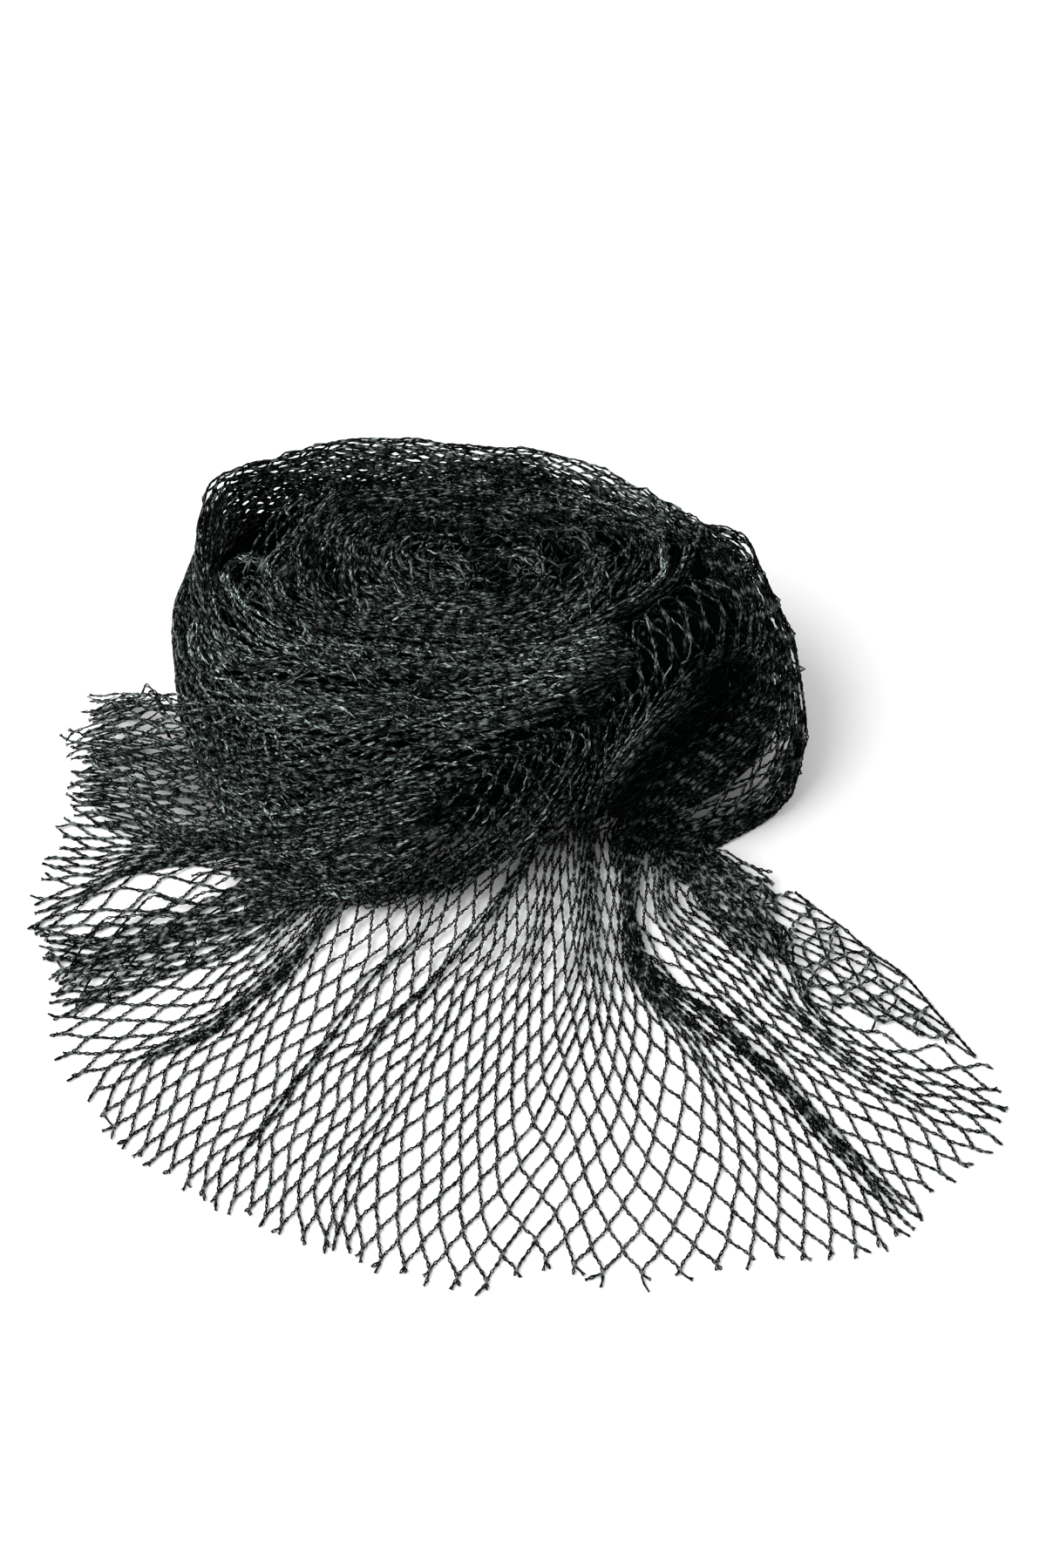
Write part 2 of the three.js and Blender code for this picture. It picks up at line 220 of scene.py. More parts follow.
SLANT_RIBS = table(RIB, [
    (0, ((112, 1162), (150, 1134), (196, 1104), (250, 1074), (305, 1046), (360, 1016))),
    (1, ((82, 1146), (126, 1116), (176, 1086), (232, 1058), (292, 1032), (350, 1006))),
    (3, ((62, 1118), (104, 1092), (154, 1066), (212, 1042), (278, 1020), (342, 998))),
    (4, ((52, 1090), (92, 1064), (140, 1042), (200, 1026), (270, 1010), (336, 990))),
])

# The layers over the front of the coil, from their own cut ends on the left
SKIRT_RIBS = table(RIB, [
    (0, ((105, 803), (150, 795), (215, 800), (300, 800), (400, 795), (500, 788), (610, 770), (740, 730))),
    (2, ((100, 818), (150, 815), (215, 822), (300, 827), (400, 822), (500, 812), (612, 790), (734, 748))),
    (4, ((68, 853), (120, 848), (215, 850), (300, 853), (400, 847), (505, 836), (615, 809), (726, 766))),
    (6, ((72, 868), (130, 868), (215, 876), (310, 880), (410, 872), (515, 856), (616, 826), (718, 786))),
    (8, ((80, 890), (140, 892), (220, 902), (318, 905), (415, 896), (515, 878), (610, 846), (706, 804))),
    (10, ((85, 908), (145, 915), (225, 928), (320, 930), (412, 917), (505, 896), (594, 866), (684, 828))),
    (12, ((98, 928), (155, 938), (230, 952), (318, 950), (402, 935), (485, 914), (562, 890), (632, 864))),
    (14, ((150, 952), (190, 962), (236, 972), (316, 968), (392, 953), (465, 934), (535, 912),
          (600, 888))),
])

# The outer turn comes round the left end and over the front of the top
BROW_RIBS = table(RIB, [
    (0, ((256, 650), (258, 663), (265, 680), (278, 698), (302, 714), (345, 736), (430, 757), (560, 758),
         (728, 712))),
    (3, ((241, 665), (242, 682), (248, 702), (263, 722), (294, 741), (390, 768), (500, 776), (610, 762),
         (730, 726))),
    (5, ((230, 682), (230, 700), (236, 720), (250, 740), (280, 758), (380, 786), (490, 792), (608, 776),
         (732, 738))),
    (7, ((222, 695), (220, 714), (224, 734), (236, 754), (262, 775), (360, 802), (480, 806), (604, 788),
         (734, 748))),
    (9, ((215, 705), (213, 724), (216, 744), (224, 766), (242, 794), (330, 828), (470, 834), (600, 812),
         (738, 764))),
])

# The lower edge of the front, over the foot of the coil
HEM_RIBS = table(RIB, [
    (0, ((228, 972), (316, 968), (400, 951), (475, 932), (540, 912), (598, 888))),
    (2, ((228, 988), (316, 985), (388, 970), (452, 954), (512, 934), (562, 912))),
    (4, ((230, 1004), (312, 1002), (376, 992), (432, 977), (482, 958), (526, 936))),
    (5, ((246, 1018), (322, 1016), (376, 1007), (424, 995), (466, 978), (500, 958))),
    (7, ((290, 1028), (342, 1026), (388, 1020), (425, 1010), (455, 996), (482, 976))),
    (9, ((335, 1036), (368, 1036), (400, 1032), (426, 1025), (448, 1014), (466, 1000))),
])

# The outer turn folds over on the right and hangs from that edge down to the fan
DRAPE_RIBS = table(RIB, [
    (0, ((448, 964), (438, 980), (428, 994), (418, 1007), (408, 1019), (398, 1030), (388, 1042))),
    (2, ((506, 936), (496, 958), (484, 977), (471, 994), (458, 1010), (445, 1025), (430, 1040))),
    (4, ((564, 902), (556, 928), (546, 951), (533, 973), (518, 994), (502, 1014), (484, 1034))),
    (6, ((610, 868), (609, 895), (602, 919), (591, 944), (577, 968), (561, 992), (541, 1017))),
    (8, ((646, 830), (650, 861), (645, 889), (635, 914), (622, 939), (608, 963), (592, 986))),
    (10, ((674, 784), (684, 818), (683, 850), (675, 880), (662, 909), (648, 940), (632, 969))),
    (12, ((696, 742), (713, 782), (715, 825), (707, 860), (692, 895), (676, 932), (658, 967))),
    (14, ((726, 706), (749, 748), (753, 792), (740, 832), (716, 872), (694, 912), (668, 960))),
    (16, ((760, 684), (788, 726), (793, 770), (775, 808), (742, 848), (708, 888), (672, 945))),
    (18, ((796, 652), (828, 697), (835, 745), (812, 782), (768, 826), (722, 872), (674, 930))),
    (20, ((828, 642), (858, 680), (868, 730), (842, 772), (790, 818), (735, 866), (678, 918))),
    (22, ((846, 652), (872, 690), (880, 738), (858, 788), (810, 836), (752, 882), (690, 932))),
])

# Behind the groove the drape and the lobe meet and run down to the fan
PINCH_RIBS = table(RIB, [
    (0, ((668, 905), (670, 930), (672, 955), (672, 990))),
    (2, ((700, 900), (694, 930), (690, 958), (688, 992))),
    (4, ((735, 890), (720, 925), (708, 958), (704, 994))),
    (6, ((770, 890), (745, 928), (728, 960), (720, 996))),
    (8, ((800, 900), (768, 935), (745, 965), (736, 998))),
])

# The outer turn goes round the right end
LOBE_RIBS = table(RIB, [
    (0, ((798, 612), (815, 640), (842, 695), (864, 750), (860, 795), (830, 828), (786, 866), (744, 904),
         (708, 946), (700, 985))),
    (2, ((796, 606), (824, 640), (852, 695), (874, 752), (872, 798), (842, 834), (798, 872), (756, 911),
         (720, 950), (708, 987))),
    (5, ((790, 602), (829, 638), (862, 694), (886, 752), (886, 802), (856, 842), (812, 882), (772, 920),
         (734, 956), (720, 990))),
    (7, ((785, 598), (835, 632), (870, 690), (897, 752), (898, 806), (866, 850), (822, 892), (784, 930),
         (744, 962), (730, 993))),
    (9, ((782, 596), (840, 626), (877, 686), (905, 754), (909, 815), (892, 876), (852, 920), (804, 946),
         (758, 970), (744, 998))),
    (10, ((778, 594), (843, 620), (882, 682), (911, 757), (917, 825), (903, 890), (868, 931), (822, 953),
          (778, 977), (764, 1002))),
    (11, ((772, 592), (846, 615), (886, 679), (916, 762), (924, 835), (911, 902), (885, 937), (847, 958),
          (805, 982), (786, 1006))),
])

# The lobe's lower edge is gathered into a band
HEEL_RIBS = table(RIB, [
    (0, ((915, 818), (896, 866), (864, 906), (824, 936), (776, 962), (752, 992))),
    (2, ((919, 824), (903, 876), (873, 917), (834, 945), (788, 970), (764, 998))),
    (5, ((923, 832), (911, 896), (885, 935), (847, 957), (805, 981), (784, 1005))),
])

# Rings of the spiral on top, each from the right end round the back, the left and the front
TURN_RINGS = table(("turn", "path"), [
    (0, ((800, 645), (772, 614), (708, 590), (620, 562), (545, 548), (450, 548), (375, 565), (310, 620),
         (272, 690), (325, 755), (420, 785), (545, 790), (640, 772), (720, 728), (775, 682))),
    (1, ((730, 645), (715, 615), (660, 590), (590, 575), (530, 570), (460, 575), (400, 592), (365, 635),
         (362, 675), (400, 705), (470, 722), (545, 725), (610, 718), (665, 700), (705, 672))),
    (2, ((668, 650), (655, 622), (620, 605), (575, 597), (530, 595), (480, 600), (440, 615), (412, 645),
         (408, 675), (435, 700), (485, 712), (545, 716), (600, 712), (645, 698), (664, 676))),
    (3, ((642, 655), (630, 632), (602, 620), (568, 613), (530, 613), (492, 618), (462, 630), (440, 648),
         (444, 668), (468, 683), (505, 692), (550, 697), (590, 695), (618, 686), (636, 672))),
    (4, ((584, 660), (582, 656), (579, 654), (576, 653), (573, 653), (570, 654), (568, 656), (566, 659),
         (566, 662), (568, 665), (571, 667), (575, 668), (579, 667), (582, 665), (584, 663))),
])

# Gathered folds on top of the coil: meshes across, half width in pixels, crest in millimetres and path
TOP_FOLDS = table(("meshes", "width", "crest", "path"), [
    (4, 12, 6, ((300, 668), (330, 628), (365, 592), (405, 567), (470, 557), (560, 554), (640, 563),
                (710, 581), (768, 600), (790, 628), (782, 658), (748, 690), (700, 714))),
    (4, 13, 5, ((342, 692), (360, 648), (388, 604), (432, 583), (500, 576), (580, 578), (650, 588),
                (716, 602), (758, 620), (762, 648), (730, 684), (688, 714))),
    (4, 12, 5, ((448, 702), (408, 680), (395, 645), (408, 612), (452, 603), (520, 600), (590, 607),
                (650, 620), (692, 638), (686, 668), (656, 706), (610, 730))),
    (4, 9, 3, ((566, 628), (522, 616), (472, 612), (432, 618), (410, 636), (416, 664), (448, 684),
               (512, 694), (572, 702))),
    (4, 10, 3, ((478, 662), (518, 662), (544, 644), (570, 634), (600, 642), (622, 664), (612, 696),
                (580, 716), (538, 724))),
    (2, 6, 1, ((532, 694), (546, 670), (564, 652), (584, 656), (590, 676), (572, 702))),
    (4, 13, 4, ((706, 622), (686, 650), (670, 682), (646, 716), (600, 740))),
    (4, 13, 5, ((258, 664), (282, 702), (345, 730), (430, 744), (520, 748), (600, 744), (672, 728),
                (726, 702))),
    (4, 10, 4, ((312, 694), (372, 716), (450, 726), (530, 730), (604, 724), (656, 708))),
    (3, 15, -3, ((424, 656), (470, 648), (520, 652), (556, 664))),
    (4, 11, 4, ((256, 690), (258, 658), (278, 640), (300, 646), (316, 672), (340, 702))),
    (3, 9, 2, ((270, 700), (273, 674), (286, 660), (300, 668), (312, 692), (332, 716))),
    (3, 8, 1, ((281, 708), (285, 688), (294, 678), (302, 686), (314, 706), (330, 722))),
])

# Folds along the flow of the net: a path in pixels, its half width in pixels and its rise in millimetres
FOLDS = table(("path", "width", "rise"), [
    (((330, 933), (400, 905), (473, 868), (597, 830), (683, 797)), 13, 7),
    (((500, 918), (560, 888), (630, 852), (690, 816)), 20, -9),
    (((400, 1010), (450, 975), (510, 940), (570, 905), (620, 870), (660, 830), (690, 780),
      (720, 730)), 14, 4),
    (((836, 784), (800, 822), (765, 860), (735, 892), (700, 930)), 22, -9),
    (((745, 700), (775, 685), (800, 665)), 18, -6),
    (((215, 770), (300, 775), (420, 785), (520, 780)), 8, -3),
    (((215, 815), (330, 820), (450, 815)), 10, 4),
    (((220, 850), (350, 855), (450, 845)), 9, -5),
    (((220, 885), (330, 890), (420, 872)), 10, 3),
    (((300, 912), (360, 908), (420, 890)), 8, -4),
    (((260, 700), (330, 735), (450, 757), (600, 745)), 10, 3),
    (((250, 762), (400, 792), (560, 786)), 9, -3),
    (((560, 800), (640, 775), (700, 752)), 9, 3),
    (((560, 826), (640, 800), (700, 772)), 7, -3),
    (((262, 650), (285, 635), (310, 655)), 18, 5),
])

# Dark gaps in the net: its strands part along a path, by so many pixels
PARTINGS = table(("path", "width"), [
    (((370, 640), (380, 665), (398, 690)), 10),
    (((392, 585), (404, 570), (440, 567), (475, 567)), 8),
    (((570, 566), (600, 566), (635, 567)), 7),
    (((398, 600), (460, 597), (560, 599)), 8),
    (((404, 628), (470, 622), (560, 626)), 7),
    (((465, 666), (515, 665)), 6),
    (((548, 642), (558, 668), (578, 692)), 11),
    (((600, 612), (650, 612), (690, 622)), 7),
    (((640, 640), (652, 658), (644, 684)), 9),
    (((695, 640), (706, 628), (716, 620)), 8),
    (((240, 776), (300, 776), (340, 780)), 4),
    (((300, 912), (360, 908), (400, 898)), 5),
])

# Painted shade in hollows that little light reaches, taken out of the strands' painted glints: a path in
# pixels, its half width and the share of the glints it loses
HOLLOW = ("path", "width", "dark")

DRAPE_HOLLOWS = table(HOLLOW, [
    (((836, 784), (800, 822), (765, 860), (735, 892), (695, 935)), 22, 0.97),
    (((800, 790), (745, 850), (700, 905)), 40, 0.2),
    (((660, 950), (720, 965), (760, 960)), 22, 0.5),
])

HOLLOWS = table(HOLLOW, [
    (((786, 600), (806, 635), (790, 668), (755, 692), (722, 708)), 16, 0.9),
    (((762, 690), (728, 722), (704, 768), (684, 812)), 34, 0.7),
    (((232, 664), (262, 702), (330, 730)), 14, 0.45),
    (((655, 832), (610, 866), (550, 900), (490, 932)), 24, 0.85),
    (((690, 812), (630, 852), (560, 890), (500, 920)), 18, 0.6),
    (((252, 596), (256, 622), (258, 642)), 16, 0.92),
    (((270, 610), (300, 595), (335, 570), (390, 552)), 16, 0.8),
    (((392, 585), (404, 570), (440, 567), (475, 567)), 9, 0.97),
    (((570, 566), (635, 567)), 8, 0.97),
    (((398, 600), (460, 597), (560, 599)), 8, 0.97),
    (((404, 628), (470, 622), (560, 626)), 8, 0.9),
    (((548, 642), (558, 668), (578, 692)), 13, 0.97),
    (((600, 612), (690, 622)), 7, 0.9),
    (((640, 640), (652, 658), (644, 684)), 11, 0.95),
    (((695, 640), (716, 620)), 10, 0.9),
    (((360, 638), (378, 668), (398, 690)), 12, 0.92),
    (((215, 770), (300, 775), (420, 785), (520, 780)), 5, 0.5),
    (((220, 850), (350, 855), (450, 845)), 8, 0.5),
    (((300, 912), (360, 908), (420, 890)), 8, 0.6),
    (((250, 962), (330, 955)), 6, 0.4),
    # Painted highlights: rows with a share below zero add glints along these bright ridges
    (((330, 933), (400, 905), (473, 868), (560, 843)), 9, -0.25),
    (((392, 690), (400, 640), (420, 606)), 15, -0.8),
    (((420, 700), (500, 714), (570, 706)), 14, -0.5),
])

# Layers of the fan's folded corner and of its left end: height over the floor, and stray in pixels
FLAP_LAYERS = table(("ribs", "height", "stray", "cut"), [
    (FLAP_RIBS, 1.0 * MM, 1, False),
    (BACKFOLD_RIBS, 2.2 * MM, 1, True),
    (BUNCH_RIBS, 2.0 * MM, 2, False),
    (STEEP_RIBS, 3.4 * MM, 2, False),
    (LEVEL_RIBS, 4.8 * MM, 2, False),
])

TAIL_LAYERS = table(("ribs", "height", "stray"), [
    (TAIL_RIBS, 1.2 * MM, 2),
    (BAND_RIBS, 2.2 * MM, 4),
    (SLANT_RIBS, 3.2 * MM, 4),
])

# Layers of the outermost turn: meshes up the side, bearings in degrees, the shares of the side where each
# starts and ends, and how far out from the solid it lies in millimetres
WRAP_LAYERS = table(("meshes", "first", "last", "foot", "top", "low"), [
    (11, -8, 240, 0.0, 0.72, -3.0),
    (14, 16, 236, 0.0, 1.0, -1.8),
    (14, 10, 242, 0.0, 1.0, -0.2),
    (8, 70, 182, 0.5, 1.0, -4.2),
    (8, 112, 180, 0.45, 0.97, -6.0),
    (8, 125, 176, 0.45, 0.94, -8.5),
])

# The outermost turn is wound tighter than the rest: its bar in bars of the net, how its lines of knots close
# up towards the top, and degrees from one profile to the next with the least number of them
WRAP_BAR = 0.65
WRAP_CURVE = 0.85
WRAP_STEP = 1.3
WRAP_LEAST = 40

# It stands upright from a height, where the coil itself is tall, both in millimetres, and as far round as a
# bearing in degrees; each has the run over which that comes in
UPRIGHT_HEIGHT = 45
UPRIGHT_RUN = 13
TALL_HEIGHT = 58
TALL_RUN = 10
UPRIGHT_BEARING = 172
UPRIGHT_FADE = 20

# Its raised corner at the back left, in millimetres and degrees
CORNER_RISE = 10
CORNER_BEARING = 158
CORNER_WIDTH = 11

# Its lower stretch on the right: the share of the height it lacks, and its bearing and run in degrees
LOW_SHARE = 0.1
LOW_BEARING = 42
LOW_RUN = 30

# Painted shade at the back left, where it lies away from the light: bearing and reach in degrees, its full
# middle, and the share of its painted glints it loses
SHADE_BEARING = 152
SHADE_REACH = 30
SHADE_FULL = 1.3
SHADE_LOSS = 0.75

# The plain layer on the core's right end: bearings in degrees, profiles, lines of knots and the share of
# painted glints it keeps, a painted shade
END_BEARINGS = (-52, 6)
END_PROFILES = 46
END_LINES = 17
END_LIT = 0.2

# Middle of the coil and of its spiral, in millimetres
COIL_MIDDLE = (0, -8)
COIL_EYE = (-3, 12)

# Profiles of the coil's side: the top one's height and the step inwards that ends a profile, in millimetres,
# and the distances from which the coil is felt for from outside and from above
PROFILE_TOP = 84
PROFILE_JUMP = 12
FAR_OUT = 0.3
FAR_UP = 0.2

# The spiral on top: turns, where its middle starts, points along it, lines of knots across it, half its width
# and its stray in turns, depths of its layers in millimetres, and its bar in bars of the net
SPIRAL_TURNS = 3.95
SPIRAL_START = 0.1
SPIRAL_STEPS = 320
SPIRAL_LINES = 17
SPIRAL_HALF = 0.62
SPIRAL_STRAY = 0.14
SPIRAL_LOWS = (-8.5, -6.0)
SPIRAL_BAR = 0.8

# Its bed, its crest, how far the crest comes and goes and how far it sinks are in millimetres, and the width
# of its arch is in turns
TURN_HEIGHT = 61
SPIRAL_CREST = 4
SPIRAL_SWELL = 2.5
SPIRAL_ARCH = 1.3
SPIRAL_SINK = 2

# Folds on the spiral, in millimetres: what each crest gains, how far it sinks, its ends too, and its stray
FOLD_CREST = 3
FOLD_SINK = 2
FOLD_END_SINK = 5
FOLD_STRAY = 0.6

# Painted highlight and shade on such a fold: share of glints at its foot, and what its crest has more
FOLD_FOOT_LIT = 0.15
FOLD_CREST_LIT = 1.1

# A narrow run of net is tighter in the middle of its length, by this share
RUN_TIGHT = 0.6

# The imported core: rows up its side, degrees from one profile to the next, and shares of the way from its eye
CORE_ROWS = 12
CORE_STEP = 5
CORE_TOP_SHARES = (0.93, 0.85, 0.7, 0.55, 0.4, 0.25, 0.12)

# Heights of the core in millimetres: its foot, its side, its top and its eye, and what the shoulder adds
CORE_FOOT = 0.3
CORE_SIDE_TOP = 52
CORE_SIDE_LIFT = 12
CORE_TOP = 60
CORE_TOP_LIFT = 8
CORE_EYE = 55

# How far inside the coil the core lies, in millimetres: under its top, down its side, all round, at the
# front, along the foot, at the front's foot and at the sheer end; and the share of the side that is foot
CORE_TOP_INSET = 7
CORE_DROP = 0.7
CORE_INSET = 4
CORE_FRONT_INSET = 4
CORE_FOOT_INSET = 7
CORE_FRONT_FOOT_INSET = 22
CORE_SHEER_INSET = 7
CORE_FOOT_SHARE = 0.5

# Bearings of the coil and their reach in degrees, and how full their middle is: the raised shoulder and the
# sheer end, and the front
SHOULDER = 24
SHEER_END = -4
BEARING_REACH = 34
SHEER_FULL = 1.6
COIL_FRONT = 255
FRONT_REACH = 60
FRONT_FULL = 1.5

# Layers on the coil: thickness and stray of one in millimetres, and the share of light stitches at its joints,
# partly their own sage and partly a painted highlight
LAYER_THICK = 1.5
LAYER_WANDER = 0.8
GATHERED_STITCH = 0.18

# Tucked ends of a layer: the share of its length and its curve; tucked first lines: their number, and where
# along them that starts and over what run
TUCK_SHARE = 0.2
TUCK_CURVE = 1.6
DIP_LINES = 7
DIP_START = 0.27
DIP_RUN = 0.1

# Height of the fan over the floor in millimetres, and its climb to the coil: how much, from where, how curved
FAN_HEIGHT = 0.6
FAN_CLIMB = 14
FAN_CLIMB_START = 0.6
FAN_CLIMB_CURVE = 1.5

# Height and crest of the fan's pleats, and height of the fold edge of its corner, in millimetres
PLEAT_HEIGHT = 2.2
PLEAT_CREST = 1.6
FOLD_EDGE_HEIGHT = 2.0

# Make of a strand, in widths of the strand: how far its plies lie from its middle, the radius of a ply and
# of a strand of one ply, and the least height of its middle over the floor
PLY_APART = 0.26
PLY_RADIUS = 0.29
LONE_RADIUS = 0.44
FLOOR_CLEARANCE = 0.6

# A tape's sides, how it thins and swells along its run, and how its twist wanders
PLY_SIDES = 3
PLY_SWELL = (0.78, 1.18)
TWIST_WANDER = 0.125

# Painted glints: length of strand from one to the next, and steps of their noise over the sides, plies and
# strands
GLINT_RUN = 2.4 * MM
GLINT_SIDE = 0.8
GLINT_PLY = 5
GLINT_STRAND = 7

# How strongly the painted glints show on a strand: the range and curve from strand to strand, the change along
# one, and the least
GLINT_RANGE = (0.2, 1)
GLINT_CURVE = 1.3
GLINT_CHANGE = 0.45
GLINT_LEAST = 0.05

# Make of the net: least step between rows of knots in bars, most rows, reach of the stitches at a joint, the
# share of half a mesh that a chain swings, and the length of its waves
LEAST_STEP = 0.3
MOST_ROWS = 400
JOINT_REACH = 1.1 * MM
CHAIN_SWING = 0.92
WAVE_RUN = 7 * MM

# Bunches of strands: lines across and points along for one knot of their noise, and lines kept at the edges
BUNCH_LINES = 5
BUNCH_POINTS = 28
BUNCH_EDGE = 3

# An edge strand's waves: out from the sheet, and the share of it upwards
EDGE_WAVE = 0.5 * MM
EDGE_RISE = 0.6

# Cut tails: least and most share of their length, splay and curl
TAIL_REACH = (0.35, 1.25)
TAIL_SPLAY = 0.28
TAIL_CURL = 0.25

# A dark gap pushes strands aside: the share of its width, and how many widths that reaches
PARTING_PUSH = 0.3
PARTING_REACH = 1.6

# Beside the coil's outline, the share of the way to the floor at which a search starts, and its steps
OUTLINE_START = 0.88
OUTLINE_STEPS = 40

# Share of itself that a point keeps when a grid is eased
EASE_KEPT = 0.4

# The tapes: noise at which a painted glint starts and is full, roughness, and specular level where they glint
# most
GLINT_START = 0.53
GLINT_FULL = 0.63
TAPE_ROUGHNESS = 0.42
TAPE_SHINE = 0.14

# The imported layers: scale of their relief, its strength and its depth, and a dull roughness, the floor's too
DEPTH_SCALE = 420
DEPTH_STRENGTH = 0.8
DEPTH_RELIEF = 1 * MM
DULL = 0.9

# The stage: size and white of the floor, strength of the light all round, and the lamps
FLOOR_SIZE = 8
FLOOR_WHITE = (0.92, 0.92, 0.92, 1)
LIGHT_ROUND = 0.74
LAMPS = table(("name", "place", "size", "power"), [
    ("key", (-1.1, -0.35, 1.35), 1.7, 38),
    ("fill", (0.1, -1.6, 1.5), 1.6, 4),
])


class NetSettings(bpy.types.PropertyGroup):
    """The net's own sizes."""

    bar: bpy.props.FloatProperty(
        name="Bar",
        description="Length of strand from knot to knot",
        default=10 * MM,
        unit="LENGTH",
    )
    strand: bpy.props.FloatProperty(
        name="Strand",
        description="Width of a loosely twisted strand",
        default=1.45 * MM,
        unit="LENGTH",
    )
    turn: bpy.props.FloatProperty(
        name="Twist",
        description="Length of strand in one full twist of its tapes",
        default=6 * MM,
        unit="LENGTH",
    )
    tail: bpy.props.FloatProperty(
        name="Cut tails",
        description="Length of the loose tails at the cut edge",
        default=5 * MM,
        unit="LENGTH",
    )


class FinishSettings(bpy.types.PropertyGroup):
    """Colours of the tapes, and of their painted glints."""

    tape: bpy.props.FloatVectorProperty(
        name="Tape",
        description="Bottle-green black of the tapes",
        subtype="COLOR",
        size=3,
        default=(0.0016, 0.0028, 0.0026),
        min=0,
        max=1,
    )
    # The glint colour is a painted highlight of tapes that face the light, and the sage of the stitches at a
    # joint
    glint: bpy.props.FloatVectorProperty(
        name="Glint",
        description="Sage of the stitches at a joint and of tapes that face the light",
        subtype="COLOR",
        size=3,
        default=(0.62, 0.74, 0.7),
        min=0,
        max=1,
    )
    depth: bpy.props.FloatVectorProperty(
        name="Depth",
        description="Dark of the packed layers inside the coil",
        subtype="COLOR",
        size=3,
        default=(0.0015, 0.0022, 0.002),
        min=0,
        max=1,
    )


class StageSettings(bpy.types.PropertyGroup):
    """Where the camera stands."""

    camera_place: bpy.props.FloatVectorProperty(
        name="Camera",
        description="Place of the camera over the floor",
        subtype="TRANSLATION",
        unit="LENGTH",
        size=3,
        default=(0.01295, -0.69942, 0.85077),
    )
    elevation: bpy.props.FloatProperty(
        name="Elevation",
        description="How far the camera looks down",
        subtype="ANGLE",
        default=math.radians(52),
    )
    lens: bpy.props.FloatProperty(
        name="Lens",
        description="Focal length for a 36 mm sensor on the photograph's long side",
        subtype="DISTANCE_CAMERA",
        default=68.04,
    )


def settings():
    """The three groups of settings of the scene."""
    scene = bpy.context.scene
    return scene.bird_net, scene.bird_net_finish, scene.bird_net_stage


def smooth_through(keys, values, at):
    """A smooth curve through the rows of a table, read at the given keys."""
    keys = np.asarray(keys, float)
    values = np.asarray(values, float)
    flat = values.reshape(len(keys), -1)
    slopes = np.diff(flat, axis=0) / np.diff(keys)[:, None]
    left, right = slopes[:-1], slopes[1:]
    total = left + right
    safe = np.where(np.abs(total) < 1e-12, 1, total)
    inner = np.where(left * right > 0, 2 * left * right / safe, 0)
    tangents = np.vstack([slopes[:1], inner, slopes[-1:]])
    at = np.clip(np.asarray(at, float), keys[0], keys[-1])
    i = np.clip(np.searchsorted(keys, at, side="right") - 1, 0, len(keys) - 2)
    span = (keys[i + 1] - keys[i])[:, None]
    t = (at - keys[i])[:, None] / span
    s = 1 - t
    made = flat[i] * s * s * (1 + 2 * t) + flat[i + 1] * t * t * (3 - 2 * t)
    made = made + span * t * s * (tangents[i] * s - tangents[i + 1] * t)
    return made.reshape((len(at),) + values.shape[1:])


def rib_grid(ribs, steps):
    """Pixels of a sheet's lines of knots: one line for each half mesh, with points along it."""
    paths = np.array([rib["path"] for rib in ribs], float)
    meshes = [rib["mesh"] for rib in ribs]
    share = np.linspace(0, 1, paths.shape[1])
    along = np.stack([smooth_through(share, path, np.linspace(0, 1, steps)) for path in paths])
    lines = np.linspace(meshes[0], meshes[-1], 2 * (meshes[-1] - meshes[0]) + 1)
    return smooth_through(meshes, along, lines)


def solid_tree(node):
    """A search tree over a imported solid's faces."""
    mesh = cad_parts[node].data
    points = [v.co.copy() for v in mesh.vertices]
    faces = [tuple(p.vertices) for p in mesh.polygons]
    return BVHTree.FromPolygons(points, faces)


def photo_rays(pixels):
    """The camera's place, and the directions in which it sees pixels of the photograph."""
    stage = settings()[2]
    focal = stage.lens / SENSOR * PHOTO_HEIGHT
    tilt = stage.elevation
    ahead = np.array([0, math.cos(tilt), -math.sin(tilt)])
    down = np.array([0, -math.sin(tilt), -math.cos(tilt)])
    right = np.array([1.0, 0, 0])
    across = (pixels[..., 0:1] - PHOTO_WIDTH / 2) * right
    drop = (pixels[..., 1:2] - PHOTO_HEIGHT / 2) * down
    rays = ahead * focal + across + drop
    return np.array(stage.camera_place), rays / np.linalg.norm(rays, axis=-1, keepdims=True)


def on_floor(pixels, height):
    """Where the camera sees pixels at a height over the floor."""
    place, rays = photo_rays(pixels)
    reach = (height - place[2]) / rays[..., 2]
    return place + rays * reach[..., None]


def on_coil(pixels, tree, bed=0.0, near=14 * MM):
    """Where the camera sees pixels on the coil, just past its outline beside it, or else on a low bed."""
    place, rays = photo_rays(pixels)
    points = on_floor(pixels, bed)
    origin = Vector(place)
    for index in np.ndindex(pixels.shape[:-1]):
        ray = Vector(rays[index])
        hit = tree.ray_cast(origin, ray)[0]
        if hit is None:
            floor = Vector(points[index])
            best = near
            for share in np.linspace(OUTLINE_START, 1.0, OUTLINE_STEPS):
                spot = origin.lerp(floor, share)
                found = tree.find_nearest(spot, best)
                if found[0] is not None and found[3] < best:
                    best = found[3]
                    hit = spot
        if hit is not None:
            points[index] = hit
    return points


def eased(grid, rounds):
    """A grid of points with its small steps smoothed away, its border kept."""
    for _ in range(rounds):
        inner = grid[1:-1, 1:-1]
        around = grid[:-2, 1:-1] + grid[2:, 1:-1] + grid[1:-1, :-2] + grid[1:-1, 2:]
        grid[1:-1, 1:-1] = EASE_KEPT * inner + (1 - EASE_KEPT) / 4 * around
    return grid


def grid_normals(grid):
    """Upward normals of a grid of points."""
    across = np.gradient(grid, axis=0)
    along = np.gradient(grid, axis=1)
    normals = np.cross(across, along)
    normals /= np.maximum(np.linalg.norm(normals, axis=-1, keepdims=True), 1e-12)
    return normals


